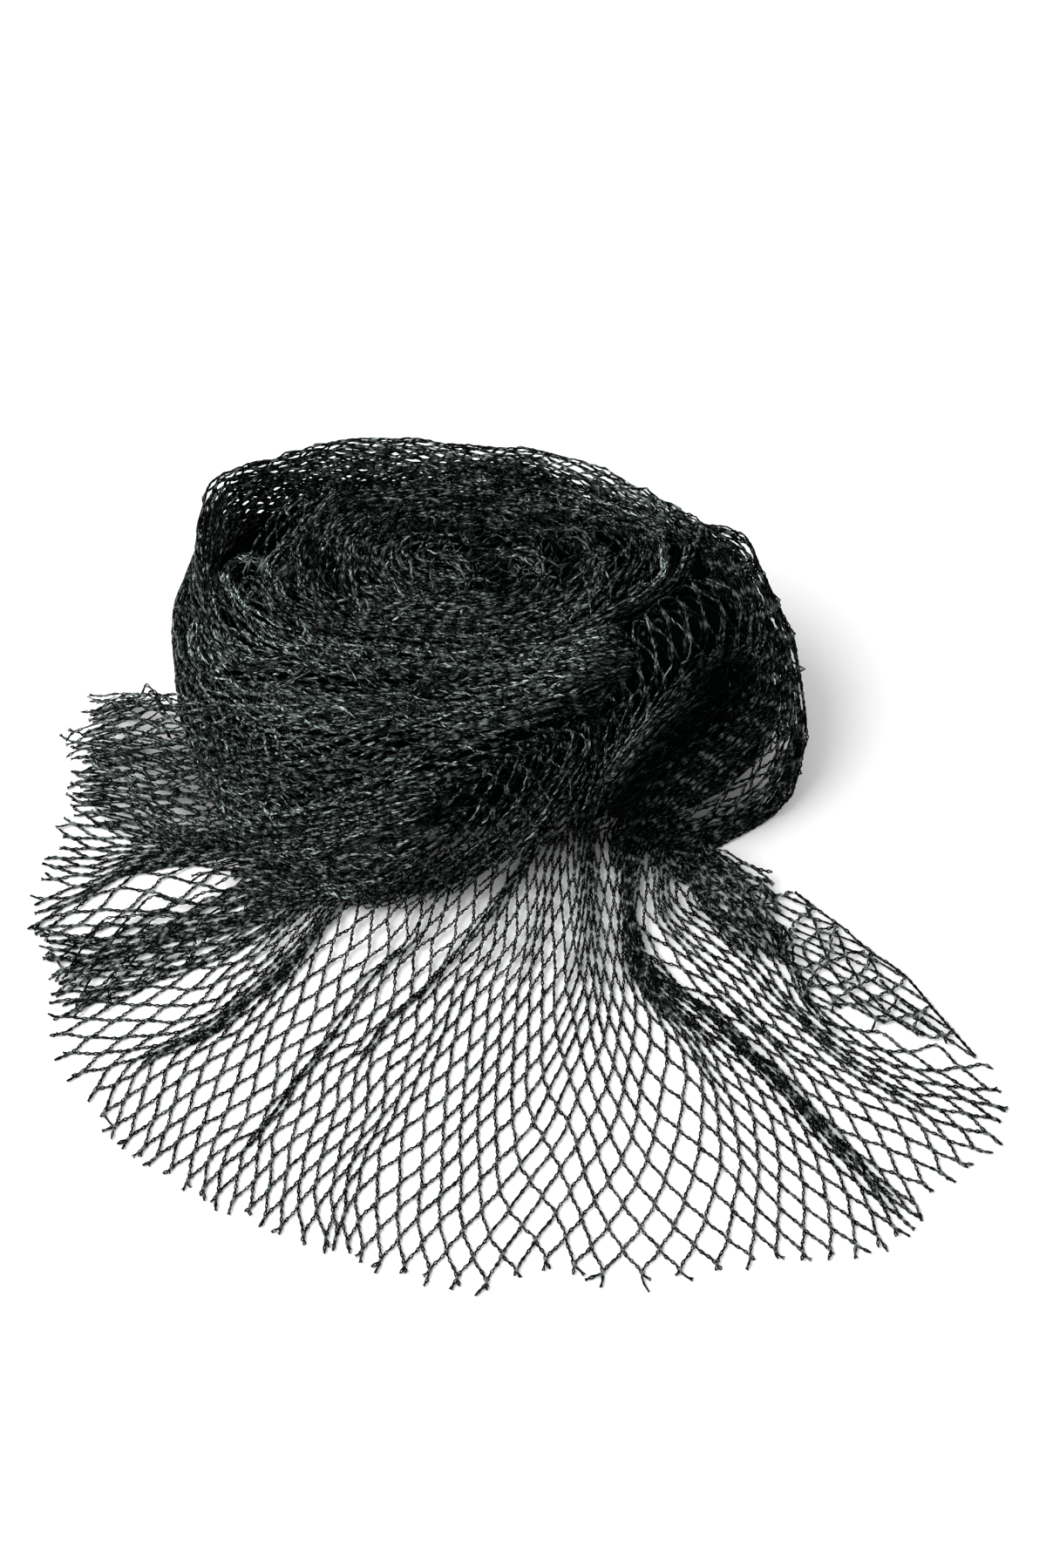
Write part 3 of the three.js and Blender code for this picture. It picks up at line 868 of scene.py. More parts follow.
def soft_noise(rng, shape, knots):
    """Smooth noise over a grid, from a few random knots."""
    made = rng.normal(0, 1, knots)
    made = smooth_through(np.linspace(0, 1, knots[0]), made, np.linspace(0, 1, shape[0]))
    made = smooth_through(np.linspace(0, 1, knots[1]), made.T, np.linspace(0, 1, shape[1]))
    return made.T


def strayed(pixels, rng, amount, knots=(5, 7)):
    """Pixels of a sheet moved a little from their place, smoothly."""
    moved = [soft_noise(rng, pixels.shape[:2], knots) for _ in range(2)]
    return pixels + np.stack(moved, axis=-1) * amount


def from_path(pixels, path):
    """Each pixel's lead from the nearest point of a path, and its length."""
    path = np.array(path, float)
    nearest = np.full(pixels.shape[:-1], 1e9)
    lead = np.zeros(pixels.shape)
    for a, b in zip(path[:-1], path[1:]):
        span = b - a
        t = np.clip(((pixels - a) @ span) / (span @ span), 0, 1)
        away = pixels - a - t[..., None] * span
        length = np.linalg.norm(away, axis=-1)
        closer = length < nearest
        lead[closer] = away[closer]
        nearest = np.minimum(nearest, length)
    return lead, nearest


def fold_rise(pixels):
    """How far the folds lift or sink the net at pixels of the photograph."""
    total = np.zeros(pixels.shape[:-1])
    for fold in FOLDS:
        gap = from_path(pixels, fold["path"])[1]
        total += fold["rise"] * np.exp(-((gap / fold["width"]) ** 2))
    return total * MM


def lit_share(pixels, hollows):
    """Painted shade and highlight: the share of its painted glints that the net keeps at pixels of the
    photograph.
    """
    share = np.ones(pixels.shape[:-1])
    for hollow in hollows:
        gap = from_path(pixels, hollow["path"])[1]
        share = share * (1 - hollow["dark"] * np.exp(-((gap / hollow["width"]) ** 4)))
    return share


def parted(pixels):
    """Pixels pushed aside from the dark gaps in the net."""
    moved = pixels.copy()
    for part in PARTINGS:
        lead, gap = from_path(pixels, part["path"])
        push = PARTING_PUSH * part["width"] * np.exp(-((gap / (PARTING_REACH * part["width"])) ** 2))
        moved = moved + lead * (push / np.maximum(gap, 0.5))[..., None]
    return moved


def gathered(pixels):
    """Pixels of the fan drawn together into its pleats."""
    moved = pixels.copy()
    for pleat in GATHERS:
        lead, gap = from_path(pixels, pleat["path"])
        pull = pleat["pull"] * np.exp(-((gap / pleat["width"]) ** 2))
        moved = moved - lead * pull[..., None]
    return moved


def coil_grid(ribs, steps, tree, rng, stray, bed, hollows):
    """Points of a sheet that lies on the coil, with the folds of the net, and the share of painted glints kept
    there under painted shade.
    """
    pixels = parted(strayed(rib_grid(ribs, steps), rng, stray))
    grid = eased(on_coil(pixels, tree, bed), 5)
    return grid + grid_normals(grid) * fold_rise(pixels)[..., None], lit_share(pixels, hollows)


class Sheet:
    """A net laid on a grid of points, read by line of knots and by length along it.

    An even sheet keeps its rows of knots abreast where its lines go round a bend.
    """

    def __init__(self, grid, step=1 * MM, side=1, even=False, lit=1.0):
        self.lines = grid.shape[0]
        self.step = step
        gaps = np.linalg.norm(np.diff(grid, axis=1), axis=-1)
        along = np.concatenate([np.zeros((self.lines, 1)), np.cumsum(gaps, axis=1)], axis=1)
        if even:
            along = np.repeat(along.mean(axis=0)[None], self.lines, axis=0)
        self.length = along[:, -1]
        count = int(math.ceil(self.length.max() / step)) + 2
        places = np.arange(count) * step
        normals = grid_normals(grid) * side
        self.points = np.zeros((self.lines, count, 3))
        self.normals = np.zeros((self.lines, count, 3))
        # The share of painted glints kept along each line: painted shade and highlight
        self.lit = np.zeros((self.lines, count, 1))
        lit = np.broadcast_to(lit, grid.shape[:2])
        for line in range(self.lines):
            self.lit[line, :, 0] = np.interp(places, along[line], lit[line])
            for axis in range(3):
                self.points[line, :, axis] = np.interp(places, along[line], grid[line, :, axis])
                self.normals[line, :, axis] = np.interp(places, along[line], normals[line, :, axis])

    def read(self, field, line, place):
        """A field at fractional lines and lengths along them."""
        line = np.clip(line, 0, self.lines - 1.001)
        spot = np.clip(place / self.step, 0, field.shape[1] - 1.001)
        i = line.astype(int)
        k = spot.astype(int)
        a = (line - i)[..., None]
        b = (spot - k)[..., None]
        low = field[i, k] * (1 - b) + field[i, k + 1] * b
        high = field[i + 1, k] * (1 - b) + field[i + 1, k + 1] * b
        return low * (1 - a) + high * a


def knot_rows(sheet, bar, start, rng, wander, drift):
    """Lengths along each line at which its rows of knots lie, so that every bar keeps its length."""
    lines = np.arange(sheet.lines)
    beside = np.minimum(lines + 1, sheet.lines - 1)
    before = np.maximum(lines - 1, 0)
    slide = np.cumsum(rng.normal(0, drift, sheet.lines))
    slide -= np.linspace(slide[0], slide[-1], sheet.lines)
    place = start + slide - slide.min()
    rows = [place]
    while np.any(place < sheet.length) and len(rows) < MOST_ROWS:
        gap = sheet.read(sheet.points, beside.astype(float), place)
        gap = gap - sheet.read(sheet.points, before.astype(float), place)
        half = 0.5 * np.linalg.norm(gap, axis=-1)
        step = np.sqrt(np.maximum(bar * bar - half * half, (LEAST_STEP * bar) ** 2))
        step = np.convolve(np.pad(step, 2, mode="edge"), np.ones(5) / 5, mode="valid")
        place = place + step
        rows.append(place + rng.normal(0, wander, sheet.lines))
    return np.array(rows)


def net_chains(sheet, bar, rng, segments, start=0.0, wander=0.3 * MM, lift=(0.4 * MM, 1.2 * MM),
               loose=0.25 * MM, drift=0.0, bunch=0.0, stitch=0.3):
    """Zigzag chains of the net: points, where each is whole, how near each point is to a joint, dimmed by
    painted shade, and the share of painted glints kept.
    """
    rows = knot_rows(sheet, bar, start, rng, wander, drift)
    count = len(rows)
    chains = sheet.lines - 1
    h = np.arange(chains)[:, None]
    j = np.arange(count)[None, :]
    knot_line = h + (h + j) % 2
    knot_place = rows[j, knot_line]
    whole = (knot_place <= sheet.length[knot_line]) & (knot_place >= 0)
    t = np.arange(segments) / segments
    swing = t - 0.5 * np.sin(2 * np.pi * t) / (2 * np.pi)
    a, b = knot_line[:, :-1, None], knot_line[:, 1:, None]
    line = a + (b - a) * swing
    centre = h[..., None] + 0.5
    line = centre + (line - centre) * CHAIN_SWING
    a, b = knot_place[:, :-1, None], knot_place[:, 1:, None]
    place = a + (b - a) * t
    shape = (chains, (count - 1) * segments)
    line = line.reshape(shape)
    place = place.reshape(shape)
    kept = np.repeat(whole[:, :-1] & whole[:, 1:], segments, axis=1)
    near = np.repeat(np.minimum(t, 1 - t)[None, None, :], count - 1, axis=1)
    near = np.broadcast_to(near, (chains, count - 1, segments)).reshape(shape)
    joint = np.clip(1 - near * bar / JOINT_REACH, 0, 1) * stitch
    if bunch:
        size = sheet.points.shape[:2]
        knots = (max(3, size[0] // BUNCH_LINES), max(4, size[1] // BUNCH_POINTS))
        field = soft_noise(rng, size, knots)[..., None] * bunch
        inside = np.minimum(np.arange(size[0]), np.arange(size[0])[::-1])
        field = field * np.clip(inside / BUNCH_EDGE, 0, 1)[:, None, None]
        line = line + sheet.read(field, line, place)[..., 0]
    points = sheet.read(sheet.points, line, place)
    normals = sheet.read(sheet.normals, line, place)
    normals /= np.maximum(np.linalg.norm(normals, axis=-1, keepdims=True), 1e-9)
    base = rng.uniform(lift[0], lift[1], (chains, 1))
    waves = rng.uniform(0, 2 * np.pi, (chains, 1)) + place / WAVE_RUN
    rise = base + loose * np.sin(waves)
    points = points + normals * rise[..., None]
    lit = sheet.read(sheet.lit, line, place)[..., 0]
    return points, normals, kept, joint * lit, lit


def edge_strand(sheet, line, rng, lift, step=2 * MM):
    """One strand that runs along a line of a sheet, as along a fold or an edge."""
    place = np.arange(0, sheet.length[line], step)[None, :]
    at = np.full(place.shape, float(line))
    points = sheet.read(sheet.points, at, place)
    normals = sheet.read(sheet.normals, at, place)
    normals /= np.maximum(np.linalg.norm(normals, axis=-1, keepdims=True), 1e-9)
    wave = EDGE_WAVE * soft_noise(rng, (2, place.shape[1]), (2, max(4, place.shape[1] // 5)))[:1]
    points = points + normals * (lift + wave)[..., None]
    points[..., 2] += EDGE_RISE * wave
    lit = sheet.read(sheet.lit, at, place)[..., 0]
    return points, normals, np.ones(place.shape, bool), np.zeros(place.shape), lit


def cut_tails(points, normals, kept, joint, lit, rng, length, steps=3):
    """The chains with a loose tail before their first knot, splayed and curled a little."""
    chains = len(points)
    first = np.argmax(kept, axis=1)
    order = np.minimum(np.arange(points.shape[1])[None, :] + first[:, None], points.shape[1] - 1)
    past = np.arange(points.shape[1])[None, :] + first[:, None] >= points.shape[1]
    rows = np.arange(chains)[:, None]
    points = points[rows, order]
    normals = normals[rows, order]
    joint = joint[rows, order]
    lit = lit[rows, order]
    kept = kept[rows, order] & ~past
    away = points[:, 0] - points[:, 2]
    away /= np.maximum(np.linalg.norm(away, axis=-1, keepdims=True), 1e-9)
    aside = np.cross(normals[:, 0], away)
    reach = length * rng.uniform(*TAIL_REACH, (chains, 1))
    splay = rng.normal(0, TAIL_SPLAY, (chains, 1))
    curl = rng.normal(0, TAIL_CURL, (chains, 1))
    tails = []
    for k in range(steps, 0, -1):
        far = reach * k / steps
        tails.append(points[:, 0] + away * far + aside * far * (splay + curl * k / steps))
    tails = np.stack(tails, axis=1)
    points = np.concatenate([tails, points], axis=1)
    normals = np.concatenate([np.repeat(normals[:, :1], steps, axis=1), normals], axis=1)
    kept = np.concatenate([np.repeat(kept[:, :1], steps, axis=1), kept], axis=1)
    joint = np.concatenate([np.zeros((chains, steps)), joint], axis=1)
    lit = np.concatenate([np.repeat(lit[:, :1], steps, axis=1), lit], axis=1)
    return points, normals, kept, joint, lit


def strand_mesh(name, parts, net, rng, plies, girth, painted_glint):
    """One mesh of all the strands: each chain is a twist of tapes with closed ends."""
    sides = PLY_SIDES
    apart = PLY_APART * net.strand * girth if plies > 1 else 0.0
    ply_radius = net.strand * girth * (PLY_RADIUS if plies > 1 else LONE_RADIUS)
    ply_turn = net.turn * (1 if plies > 1 else 2)
    vertices, quads, caps, joints, glint_strengths, glint_places = [], [], [], [], [], []
    offset = 0
    total = 0.0
    # Each piece's painted light: how strongly its painted glints and its specular show, set per piece for how
    # light falls on it
    for (points, normals, kept, joint, lit), piece_glint in zip(parts, np.broadcast_to(painted_glint, len(parts))):
        chains, count = points.shape[:2]
        gaps = np.linalg.norm(np.diff(points, axis=1), axis=-1)
        total += (gaps * (kept[:, 1:] & kept[:, :-1])).sum()
        run = np.concatenate([np.zeros((chains, 1)), np.cumsum(gaps, axis=1)], axis=1)
        tangent = np.gradient(points, axis=1)
        tangent /= np.maximum(np.linalg.norm(tangent, axis=-1, keepdims=True), 1e-12)
        bend = np.cross(tangent, normals)
        bend /= np.maximum(np.linalg.norm(bend, axis=-1, keepdims=True), 1e-12)
        up = np.cross(bend, tangent)
        offsets = rng.uniform(0, 9, (chains, 1))
        phase = rng.uniform(0, 2 * np.pi, (chains, 1))
        phase = phase + rng.normal(0, TWIST_WANDER, (chains, count)).cumsum(axis=1)
        points = points.copy()
        points[..., 2] = np.maximum(points[..., 2], FLOOR_CLEARANCE * net.strand)
        twist = phase + 2 * np.pi * run / ply_turn
        # Strength of the painted glints: random from strand to strand and along each, times the piece's
        # painted light and the painted shade of hollows
        slow = soft_noise(rng, (chains, count), (max(2, chains // 2), max(4, count // 24)))
        glint_strength = rng.uniform(*GLINT_RANGE, (chains, 1)) ** GLINT_CURVE * (1 + GLINT_CHANGE * slow)
        glint_strength = np.clip(glint_strength, GLINT_LEAST, 1) * piece_glint * lit
        for ply in range(plies):
            turn = twist + 2 * np.pi * ply / plies
            middle = points + apart * (np.cos(turn)[..., None] * up + np.sin(turn)[..., None] * bend)
            radius = ply_radius * rng.uniform(*PLY_SWELL, (chains, count))
            ring = []
            for side in range(sides):
                angle = turn + 2 * np.pi * side / sides
                spoke = np.cos(angle)[..., None] * up + np.sin(angle)[..., None] * bend
                ring.append(middle + radius[..., None] * spoke)
            ring = np.stack(ring, axis=2)
            vertices.append(ring.reshape(-1, 3))
            index = offset + np.arange(chains * count * sides).reshape(chains, count, sides)
            live = kept[:, :-1] & kept[:, 1:]
            here, there = index[:, :-1][live], index[:, 1:][live]
            for side in range(sides):
                after = (side + 1) % sides
                quad = [here[:, side], here[:, after], there[:, after], there[:, side]]
                quads.append(np.stack(quad, axis=1))
            starts = live & ~np.concatenate([np.zeros((chains, 1), bool), live[:, :-1]], axis=1)
            ends = live & ~np.concatenate([live[:, 1:], np.zeros((chains, 1), bool)], axis=1)
            caps.append(index[:, :-1][starts][:, ::-1])
            caps.append(index[:, 1:][ends])
            joints.append(np.repeat(joint.ravel(), sides))
            glint_strengths.append(np.repeat(glint_strength.ravel(), sides))
            glint_place = np.zeros((chains, count, sides, 3))
            glint_place[..., 0] = (run / GLINT_RUN)[..., None]
            glint_place[..., 1] = GLINT_SIDE * np.arange(sides)
            glint_place[..., 2] = GLINT_PLY * ply + (GLINT_STRAND * offsets)[..., None]
            glint_places.append(glint_place.reshape(-1, 3))
            offset += chains * count * sides
    return build_mesh(name, vertices, quads, caps, joints, glint_strengths, glint_places), total


def build_mesh(name, vertices, quads, caps, joints, glint_strengths, glint_places):
    """A mesh object from arrays, with only the points that its faces use."""
    vertices = np.concatenate(vertices)
    quads = np.concatenate(quads)
    caps = np.concatenate(caps)
    used = np.zeros(len(vertices), bool)
    used[quads.ravel()] = True
    used[caps.ravel()] = True
    fresh = np.cumsum(used) - 1
    corners = np.concatenate([fresh[quads].ravel(), fresh[caps].ravel()])
    sizes = np.concatenate([np.full(len(quads), 4), np.full(len(caps), caps.shape[1])])
    mesh = bpy.data.meshes.new(name)
    mesh.vertices.add(int(used.sum()))
    mesh.vertices.foreach_set("co", vertices[used].astype(np.float32).ravel())
    mesh.loops.add(len(corners))
    mesh.loops.foreach_set("vertex_index", corners.astype(np.int32))
    mesh.polygons.add(len(sizes))
    starts = np.concatenate([[0], np.cumsum(sizes)[:-1]])
    mesh.polygons.foreach_set("loop_start", starts.astype(np.int32))
    mesh.update(calc_edges=True)
    mesh.validate()
    for label, values in (("joint", joints), ("glint_strength", glint_strengths)):
        layer = mesh.attributes.new(label, "FLOAT", "POINT")
        layer.data.foreach_set("value", np.concatenate(values)[used].astype(np.float32))
    layer = mesh.attributes.new("glint_place", "FLOAT_VECTOR", "POINT")
    layer.data.foreach_set("vector", np.concatenate(glint_places)[used].astype(np.float32).ravel())
    piece = bpy.data.objects.new(name, mesh)
    bpy.context.scene.collection.objects.link(piece)
    return piece


def declare(piece, node=None):
    """Rides the piece on the part, and hides the imported part that it stands for."""
    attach(piece, BODY)
    if node:
        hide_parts(node)


def node_material(name):
    """A new material, with its nodes, its links and its shader."""
    material = bpy.data.materials.new(name)
    material.use_nodes = True
    nodes = material.node_tree.nodes
    return material, nodes, material.node_tree.links, nodes["Principled BSDF"]


def attribute_node(nodes, name):
    """A node that reads an attribute of the mesh."""
    node = nodes.new("ShaderNodeAttribute")
    node.attribute_name = name
    return node


def math_node(nodes, operation):
    """A node that works out one sum."""
    node = nodes.new("ShaderNodeMath")
    node.operation = operation
    return node


def colour_node(nodes, dark, light):
    """A node that goes from one colour to another."""
    node = nodes.new("ShaderNodeMix")
    node.data_type = "RGBA"
    node.inputs["A"].default_value = (*dark, 1)
    node.inputs["B"].default_value = (*light, 1)
    return node


def tape_material():
    """Loosely twisted flat tapes: near-black green, with sage stitches at the joints and painted glints."""
    finish = settings()[1]
    material = bpy.data.materials.get("net_tape")
    if material:
        return material
    material, nodes, links, shader = node_material("net_tape")
    glint_place = attribute_node(nodes, "glint_place")
    joint = attribute_node(nodes, "joint")
    glint_strength = attribute_node(nodes, "glint_strength")
    glint_noise = nodes.new("ShaderNodeTexNoise")
    glint_noise.inputs["Scale"].default_value = 1
    glint_noise.inputs["Detail"].default_value = 2
    links.new(glint_place.outputs["Vector"], glint_noise.inputs["Vector"])
    painted_flecks = nodes.new("ShaderNodeMapRange")
    painted_flecks.inputs["From Min"].default_value = GLINT_START
    painted_flecks.inputs["From Max"].default_value = GLINT_FULL
    links.new(glint_noise.outputs["Fac"], painted_flecks.inputs["Value"])
    caught = math_node(nodes, "MULTIPLY")
    links.new(painted_flecks.outputs["Result"], caught.inputs[0])
    links.new(glint_strength.outputs["Fac"], caught.inputs[1])
    bright = math_node(nodes, "MAXIMUM")
    links.new(caught.outputs["Value"], bright.inputs[0])
    links.new(joint.outputs["Fac"], bright.inputs[1])
    # Painted highlight: the glint colour is mixed into the base colour by the flecks and the joints
    mix = colour_node(nodes, finish.tape, finish.glint)
    links.new(bright.outputs["Value"], mix.inputs["Factor"])
    links.new(mix.outputs["Result"], shader.inputs["Base Color"])
    shader.inputs["Roughness"].default_value = TAPE_ROUGHNESS
    sheen = math_node(nodes, "MULTIPLY")
    sheen.inputs[1].default_value = TAPE_SHINE
    links.new(glint_strength.outputs["Fac"], sheen.inputs[0])
    links.new(sheen.outputs["Value"], shader.inputs["Specular IOR Level"])
    return material


def depth_material():
    """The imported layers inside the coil: dark, with a fine broken relief of strands."""
    finish = settings()[1]
    material, nodes, links, shader = node_material("net_depth")
    place = nodes.new("ShaderNodeTexCoord")
    strands = nodes.new("ShaderNodeTexNoise")
    strands.inputs["Scale"].default_value = DEPTH_SCALE
    strands.inputs["Detail"].default_value = 4
    links.new(place.outputs["Object"], strands.inputs["Vector"])
    mix = colour_node(nodes, finish.depth, finish.tape)
    links.new(strands.outputs["Fac"], mix.inputs["Factor"])
    links.new(mix.outputs["Result"], shader.inputs["Base Color"])
    bump = nodes.new("ShaderNodeBump")
    bump.inputs["Strength"].default_value = DEPTH_STRENGTH
    bump.inputs["Distance"].default_value = DEPTH_RELIEF
    links.new(strands.outputs["Fac"], bump.inputs["Height"])
    links.new(bump.outputs["Normal"], shader.inputs["Normal"])
    shader.inputs["Roughness"].default_value = DULL
    shader.inputs["Specular IOR Level"].default_value = 0.0
    return material


def place_net(name, parts, rng, girth, painted_glint, node=None, plies=2):
    """Turns chains into one piece of net, with its material, riding on the part and hiding the part it stands
    for.
    """
    net = settings()[0]
    piece, length = strand_mesh(name, parts, net, rng, plies, girth, painted_glint)
    piece.data.materials.append(tape_material())
    declare(piece, node)


def dress_coil(name, parts, rng, girth, painted_glint, plies=2):
    """A piece of gathered net that lies on the coil."""
    place_net(name, parts, rng, girth, painted_glint, plies=plies)


def dress_fan(name, parts, rng, girth, painted_glint):
    """A piece of net that lies on the fan."""
    place_net(name, parts, rng, girth, painted_glint)


def side_profile(tree, angle):
    """Radius and height up the coil's side at a bearing, from the floor to the rim."""
    middle = np.array(COIL_MIDDLE, float) * MM
    out = np.array([math.cos(angle), math.sin(angle)])
    far = middle + out * FAR_OUT
    profile = []
    for z in np.linspace(1 * MM, PROFILE_TOP * MM, PROFILE_TOP):
        hit = tree.ray_cast(Vector((*far, z)), Vector((*(-out), 0)))[0]
        if hit is None:
            break
        radius = (np.array(hit[:2]) - middle) @ out
        if profile and profile[-1][0] - radius > PROFILE_JUMP * MM:
            break
        profile.append((radius, z))
    return np.array(profile), out, middle


def bearing_share(bearing, middle):
    """How near a bearing is to another on the right of the coil: 1 on it, and 0 at the reach.

    A shift keeps the bearings on both sides of zero together.
    """
    shift = 60
    apart = abs((bearing + shift) % 360 - (middle + shift))
    return np.clip(1 - apart / BEARING_REACH, 0, 1)


def core_side(tree, angle):
    """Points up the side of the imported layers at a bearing, and how far the shoulder lifts them there."""
    bearing = math.degrees(angle) % 360
    profile, out, middle = side_profile(tree, angle)
    shoulder = bearing_share(bearing, SHOULDER)
    low = profile[profile[:, 1] <= (CORE_SIDE_TOP + CORE_SIDE_LIFT * shoulder) * MM]
    sheer = bearing_share(bearing, SHEER_END)
    front = np.clip(FRONT_FULL - abs(bearing - COIL_FRONT) / FRONT_REACH, 0, 1)
    spots = np.linspace(0, len(low) - 1, CORE_ROWS)
    radius = np.interp(spots, np.arange(len(low)), low[:, 0])
    radius = radius - (CORE_INSET + CORE_FRONT_INSET * front) * MM
    foot = np.clip(1 - spots / spots[-1] / CORE_FOOT_SHARE, 0, 1)
    radius = radius - (CORE_FOOT_INSET + CORE_FRONT_FOOT_INSET * front) * MM * foot
    radius = radius - CORE_SHEER_INSET * MM * min(1, SHEER_FULL * sheer)
    height = np.interp(spots, np.arange(len(low)), low[:, 1]) - CORE_DROP * MM
    return np.column_stack([middle + out * radius[:, None], height]), shoulder


def coil_layers(ribs, rng, steps, stray, lows, segments=6, cut=False, side=1, bed=0.0, bunch=0.8, sink=0.0,
                starts=(0, 0, 0), drift=2.2, first=None, edge=False, dip=0.0, hollows=HOLLOWS):
    """Gathered layers of net over the coil, one above another, each strayed in its own way.

    The sink tucks in the ends that the ribs start from, and the dip tucks in the first lines of knots; the
    hollows paint shade into the glints of the strands.
    """
    net = settings()[0]
    tree = solid_tree("roll")
    parts = []
    for layer, low in enumerate(lows):
        grid, lit = coil_grid(ribs, steps, tree, rng, stray, bed + layer * MM, hollows)
        if sink:
            tuck = np.clip(1 - np.linspace(0, 1, steps) / TUCK_SHARE, 0, 1) ** TUCK_CURVE
            grid = grid - grid_normals(grid) * side * (sink * tuck)[None, :, None]
        if dip:
            under = np.clip(1 - np.arange(len(grid)) / DIP_LINES, 0, 1)[:, None, None]
            inner = np.clip((np.linspace(0, 1, steps) - DIP_START) / DIP_RUN, 0, 1)[None, :, None]
            grid = grid - grid_normals(grid) * side * (dip * under * inner)
        begin = int(starts[layer] * steps)
        sheet = Sheet(grid[:, begin:], side=side, even=True, lit=lit[:, begin:])
        if edge:
            parts.append(edge_strand(sheet, sheet.lines - 1, rng, low * MM))
        chains = net_chains(
            sheet, net.bar, rng, segments, wander=LAYER_WANDER * MM,
            start=rng.uniform(0, 8) * MM if first is None else first,
            lift=(low * MM, (low + LAYER_THICK) * MM), loose=0.4 * MM, drift=drift * MM, bunch=bunch,
            stitch=GATHERED_STITCH,
        )
        parts.append(cut_tails(*chains, rng, net.tail) if cut else chains)
    return parts


def ring_pixels(turn, bearing):
    """Pixels at fractional turns and shares of the way round the spiral on top."""
    turns = [ring["turn"] for ring in TURN_RINGS]
    paths = np.array([ring["path"] for ring in TURN_RINGS], float)
    count = paths.shape[1]
    closed = np.concatenate([paths[:, -3:], paths, paths[:, :3]], axis=1)
    keys = np.arange(-3, count + 3) / count
    made = np.zeros(turn.shape + (2,))
    for k, share in enumerate(bearing):
        at_share = np.array([smooth_through(keys, path, [share])[0] for path in closed])
        made[:, k] = smooth_through(turns, at_share, turn[:, k])
    return made


def run_pixels(run, steps, rng, stray):
    """Pixels of a narrow run of net along a path, a little tighter in its middle."""
    path = np.array(run["path"], float)
    middle = smooth_through(np.linspace(0, 1, len(path)), path, np.linspace(0, 1, steps))
    ahead = np.gradient(middle, axis=0)
    aside = np.stack([ahead[:, 1], -ahead[:, 0]], axis=-1)
    aside /= np.maximum(np.linalg.norm(aside, axis=-1, keepdims=True), 1e-6)
    across = np.linspace(-1, 1, 2 * run["meshes"] + 1)[:, None, None]
    opening = (RUN_TIGHT + (1 - RUN_TIGHT) * np.abs(np.linspace(-1, 1, steps)))[None, :, None]
    pixels = middle[None] + across * opening * run["width"] * aside[None]
    return strayed(pixels, rng, stray, (3, max(4, steps // 8))), across[..., 0]


def wrap_grid(tree, layer, bearing, lines):
    """Points of a layer of the outermost turn, which stands upright above the coil at the back."""
    grid = np.zeros((lines, len(bearing), 3))
    for k, angle in enumerate(bearing):
        degrees = math.degrees(angle)
        profile, out, middle = side_profile(tree, angle)
        radius, height = profile[:, 0], profile[:, 1]
        upright = np.clip((height - UPRIGHT_HEIGHT * MM) / (UPRIGHT_RUN * MM), 0, 1)
        upright = upright * np.clip((height[-1] - TALL_HEIGHT * MM) / (TALL_RUN * MM), 0, 1)
        upright = upright * np.clip((UPRIGHT_BEARING - degrees) / UPRIGHT_FADE, 0, 1)
        radius = radius * (1 - upright) + radius[-1] * upright
        corner = CORNER_RISE * MM * math.exp(-((degrees - CORNER_BEARING) / CORNER_WIDTH) ** 2)
        level = layer["foot"] + (1 - layer["foot"]) * np.linspace(0, 1, lines) ** WRAP_CURVE
        lower = 1 - LOW_SHARE * np.clip((LOW_BEARING - degrees) / LOW_RUN, 0, 1)
        level = level * layer["top"] * lower * (height[-1] + corner)
        grid[:, k, :2] = middle + out * np.interp(level, height, radius)[:, None]
        grid[:, k, 2] = level
    return grid


class NET_OT_stage(bpy.types.Operator):
    """A plain white floor, soft light from the upper left, and the camera of the photograph"""

    bl_idname = "bird_net.stage"
    bl_label = "Stage"

    def execute(self, context):
        stage = settings()[2]
        scene = context.scene
        bpy.ops.object.select_all(action="DESELECT")
        bpy.ops.mesh.primitive_plane_add(size=FLOOR_SIZE, location=(0, 0, 0))
        floor = context.object
        floor.name = "floor"
        material, _, _, shader = node_material("floor_white")
        shader.inputs["Base Color"].default_value = FLOOR_WHITE
        shader.inputs["Roughness"].default_value = DULL
        floor.data.materials.append(material)
        for lamp in LAMPS:
            bpy.ops.object.light_add(type="AREA", location=lamp["place"])
            light = context.object
            light.name = lamp["name"]
            light.data.shape = "DISK"
            light.data.size = lamp["size"]
            light.data.energy = lamp["power"]
            light.rotation_euler = (-Vector(lamp["place"])).to_track_quat("-Z", "Y").to_euler()
        world = bpy.data.worlds.new("studio")
        world.use_nodes = True
        background = world.node_tree.nodes["Background"]
        background.inputs["Color"].default_value = (1, 1, 1, 1)
        background.inputs["Strength"].default_value = LIGHT_ROUND
        scene.world = world
        bpy.ops.object.camera_add(location=stage.camera_place)
        camera = context.object
        camera.rotation_euler = (math.pi / 2 - stage.elevation, 0, 0)
        camera.data.lens = stage.lens
        camera.data.sensor_width = SENSOR
        camera.data.sensor_fit = "AUTO"
        camera.data.clip_start = 0.01
        scene.camera = camera
        scene.view_settings.view_transform = "Standard"
        return {"FINISHED"}


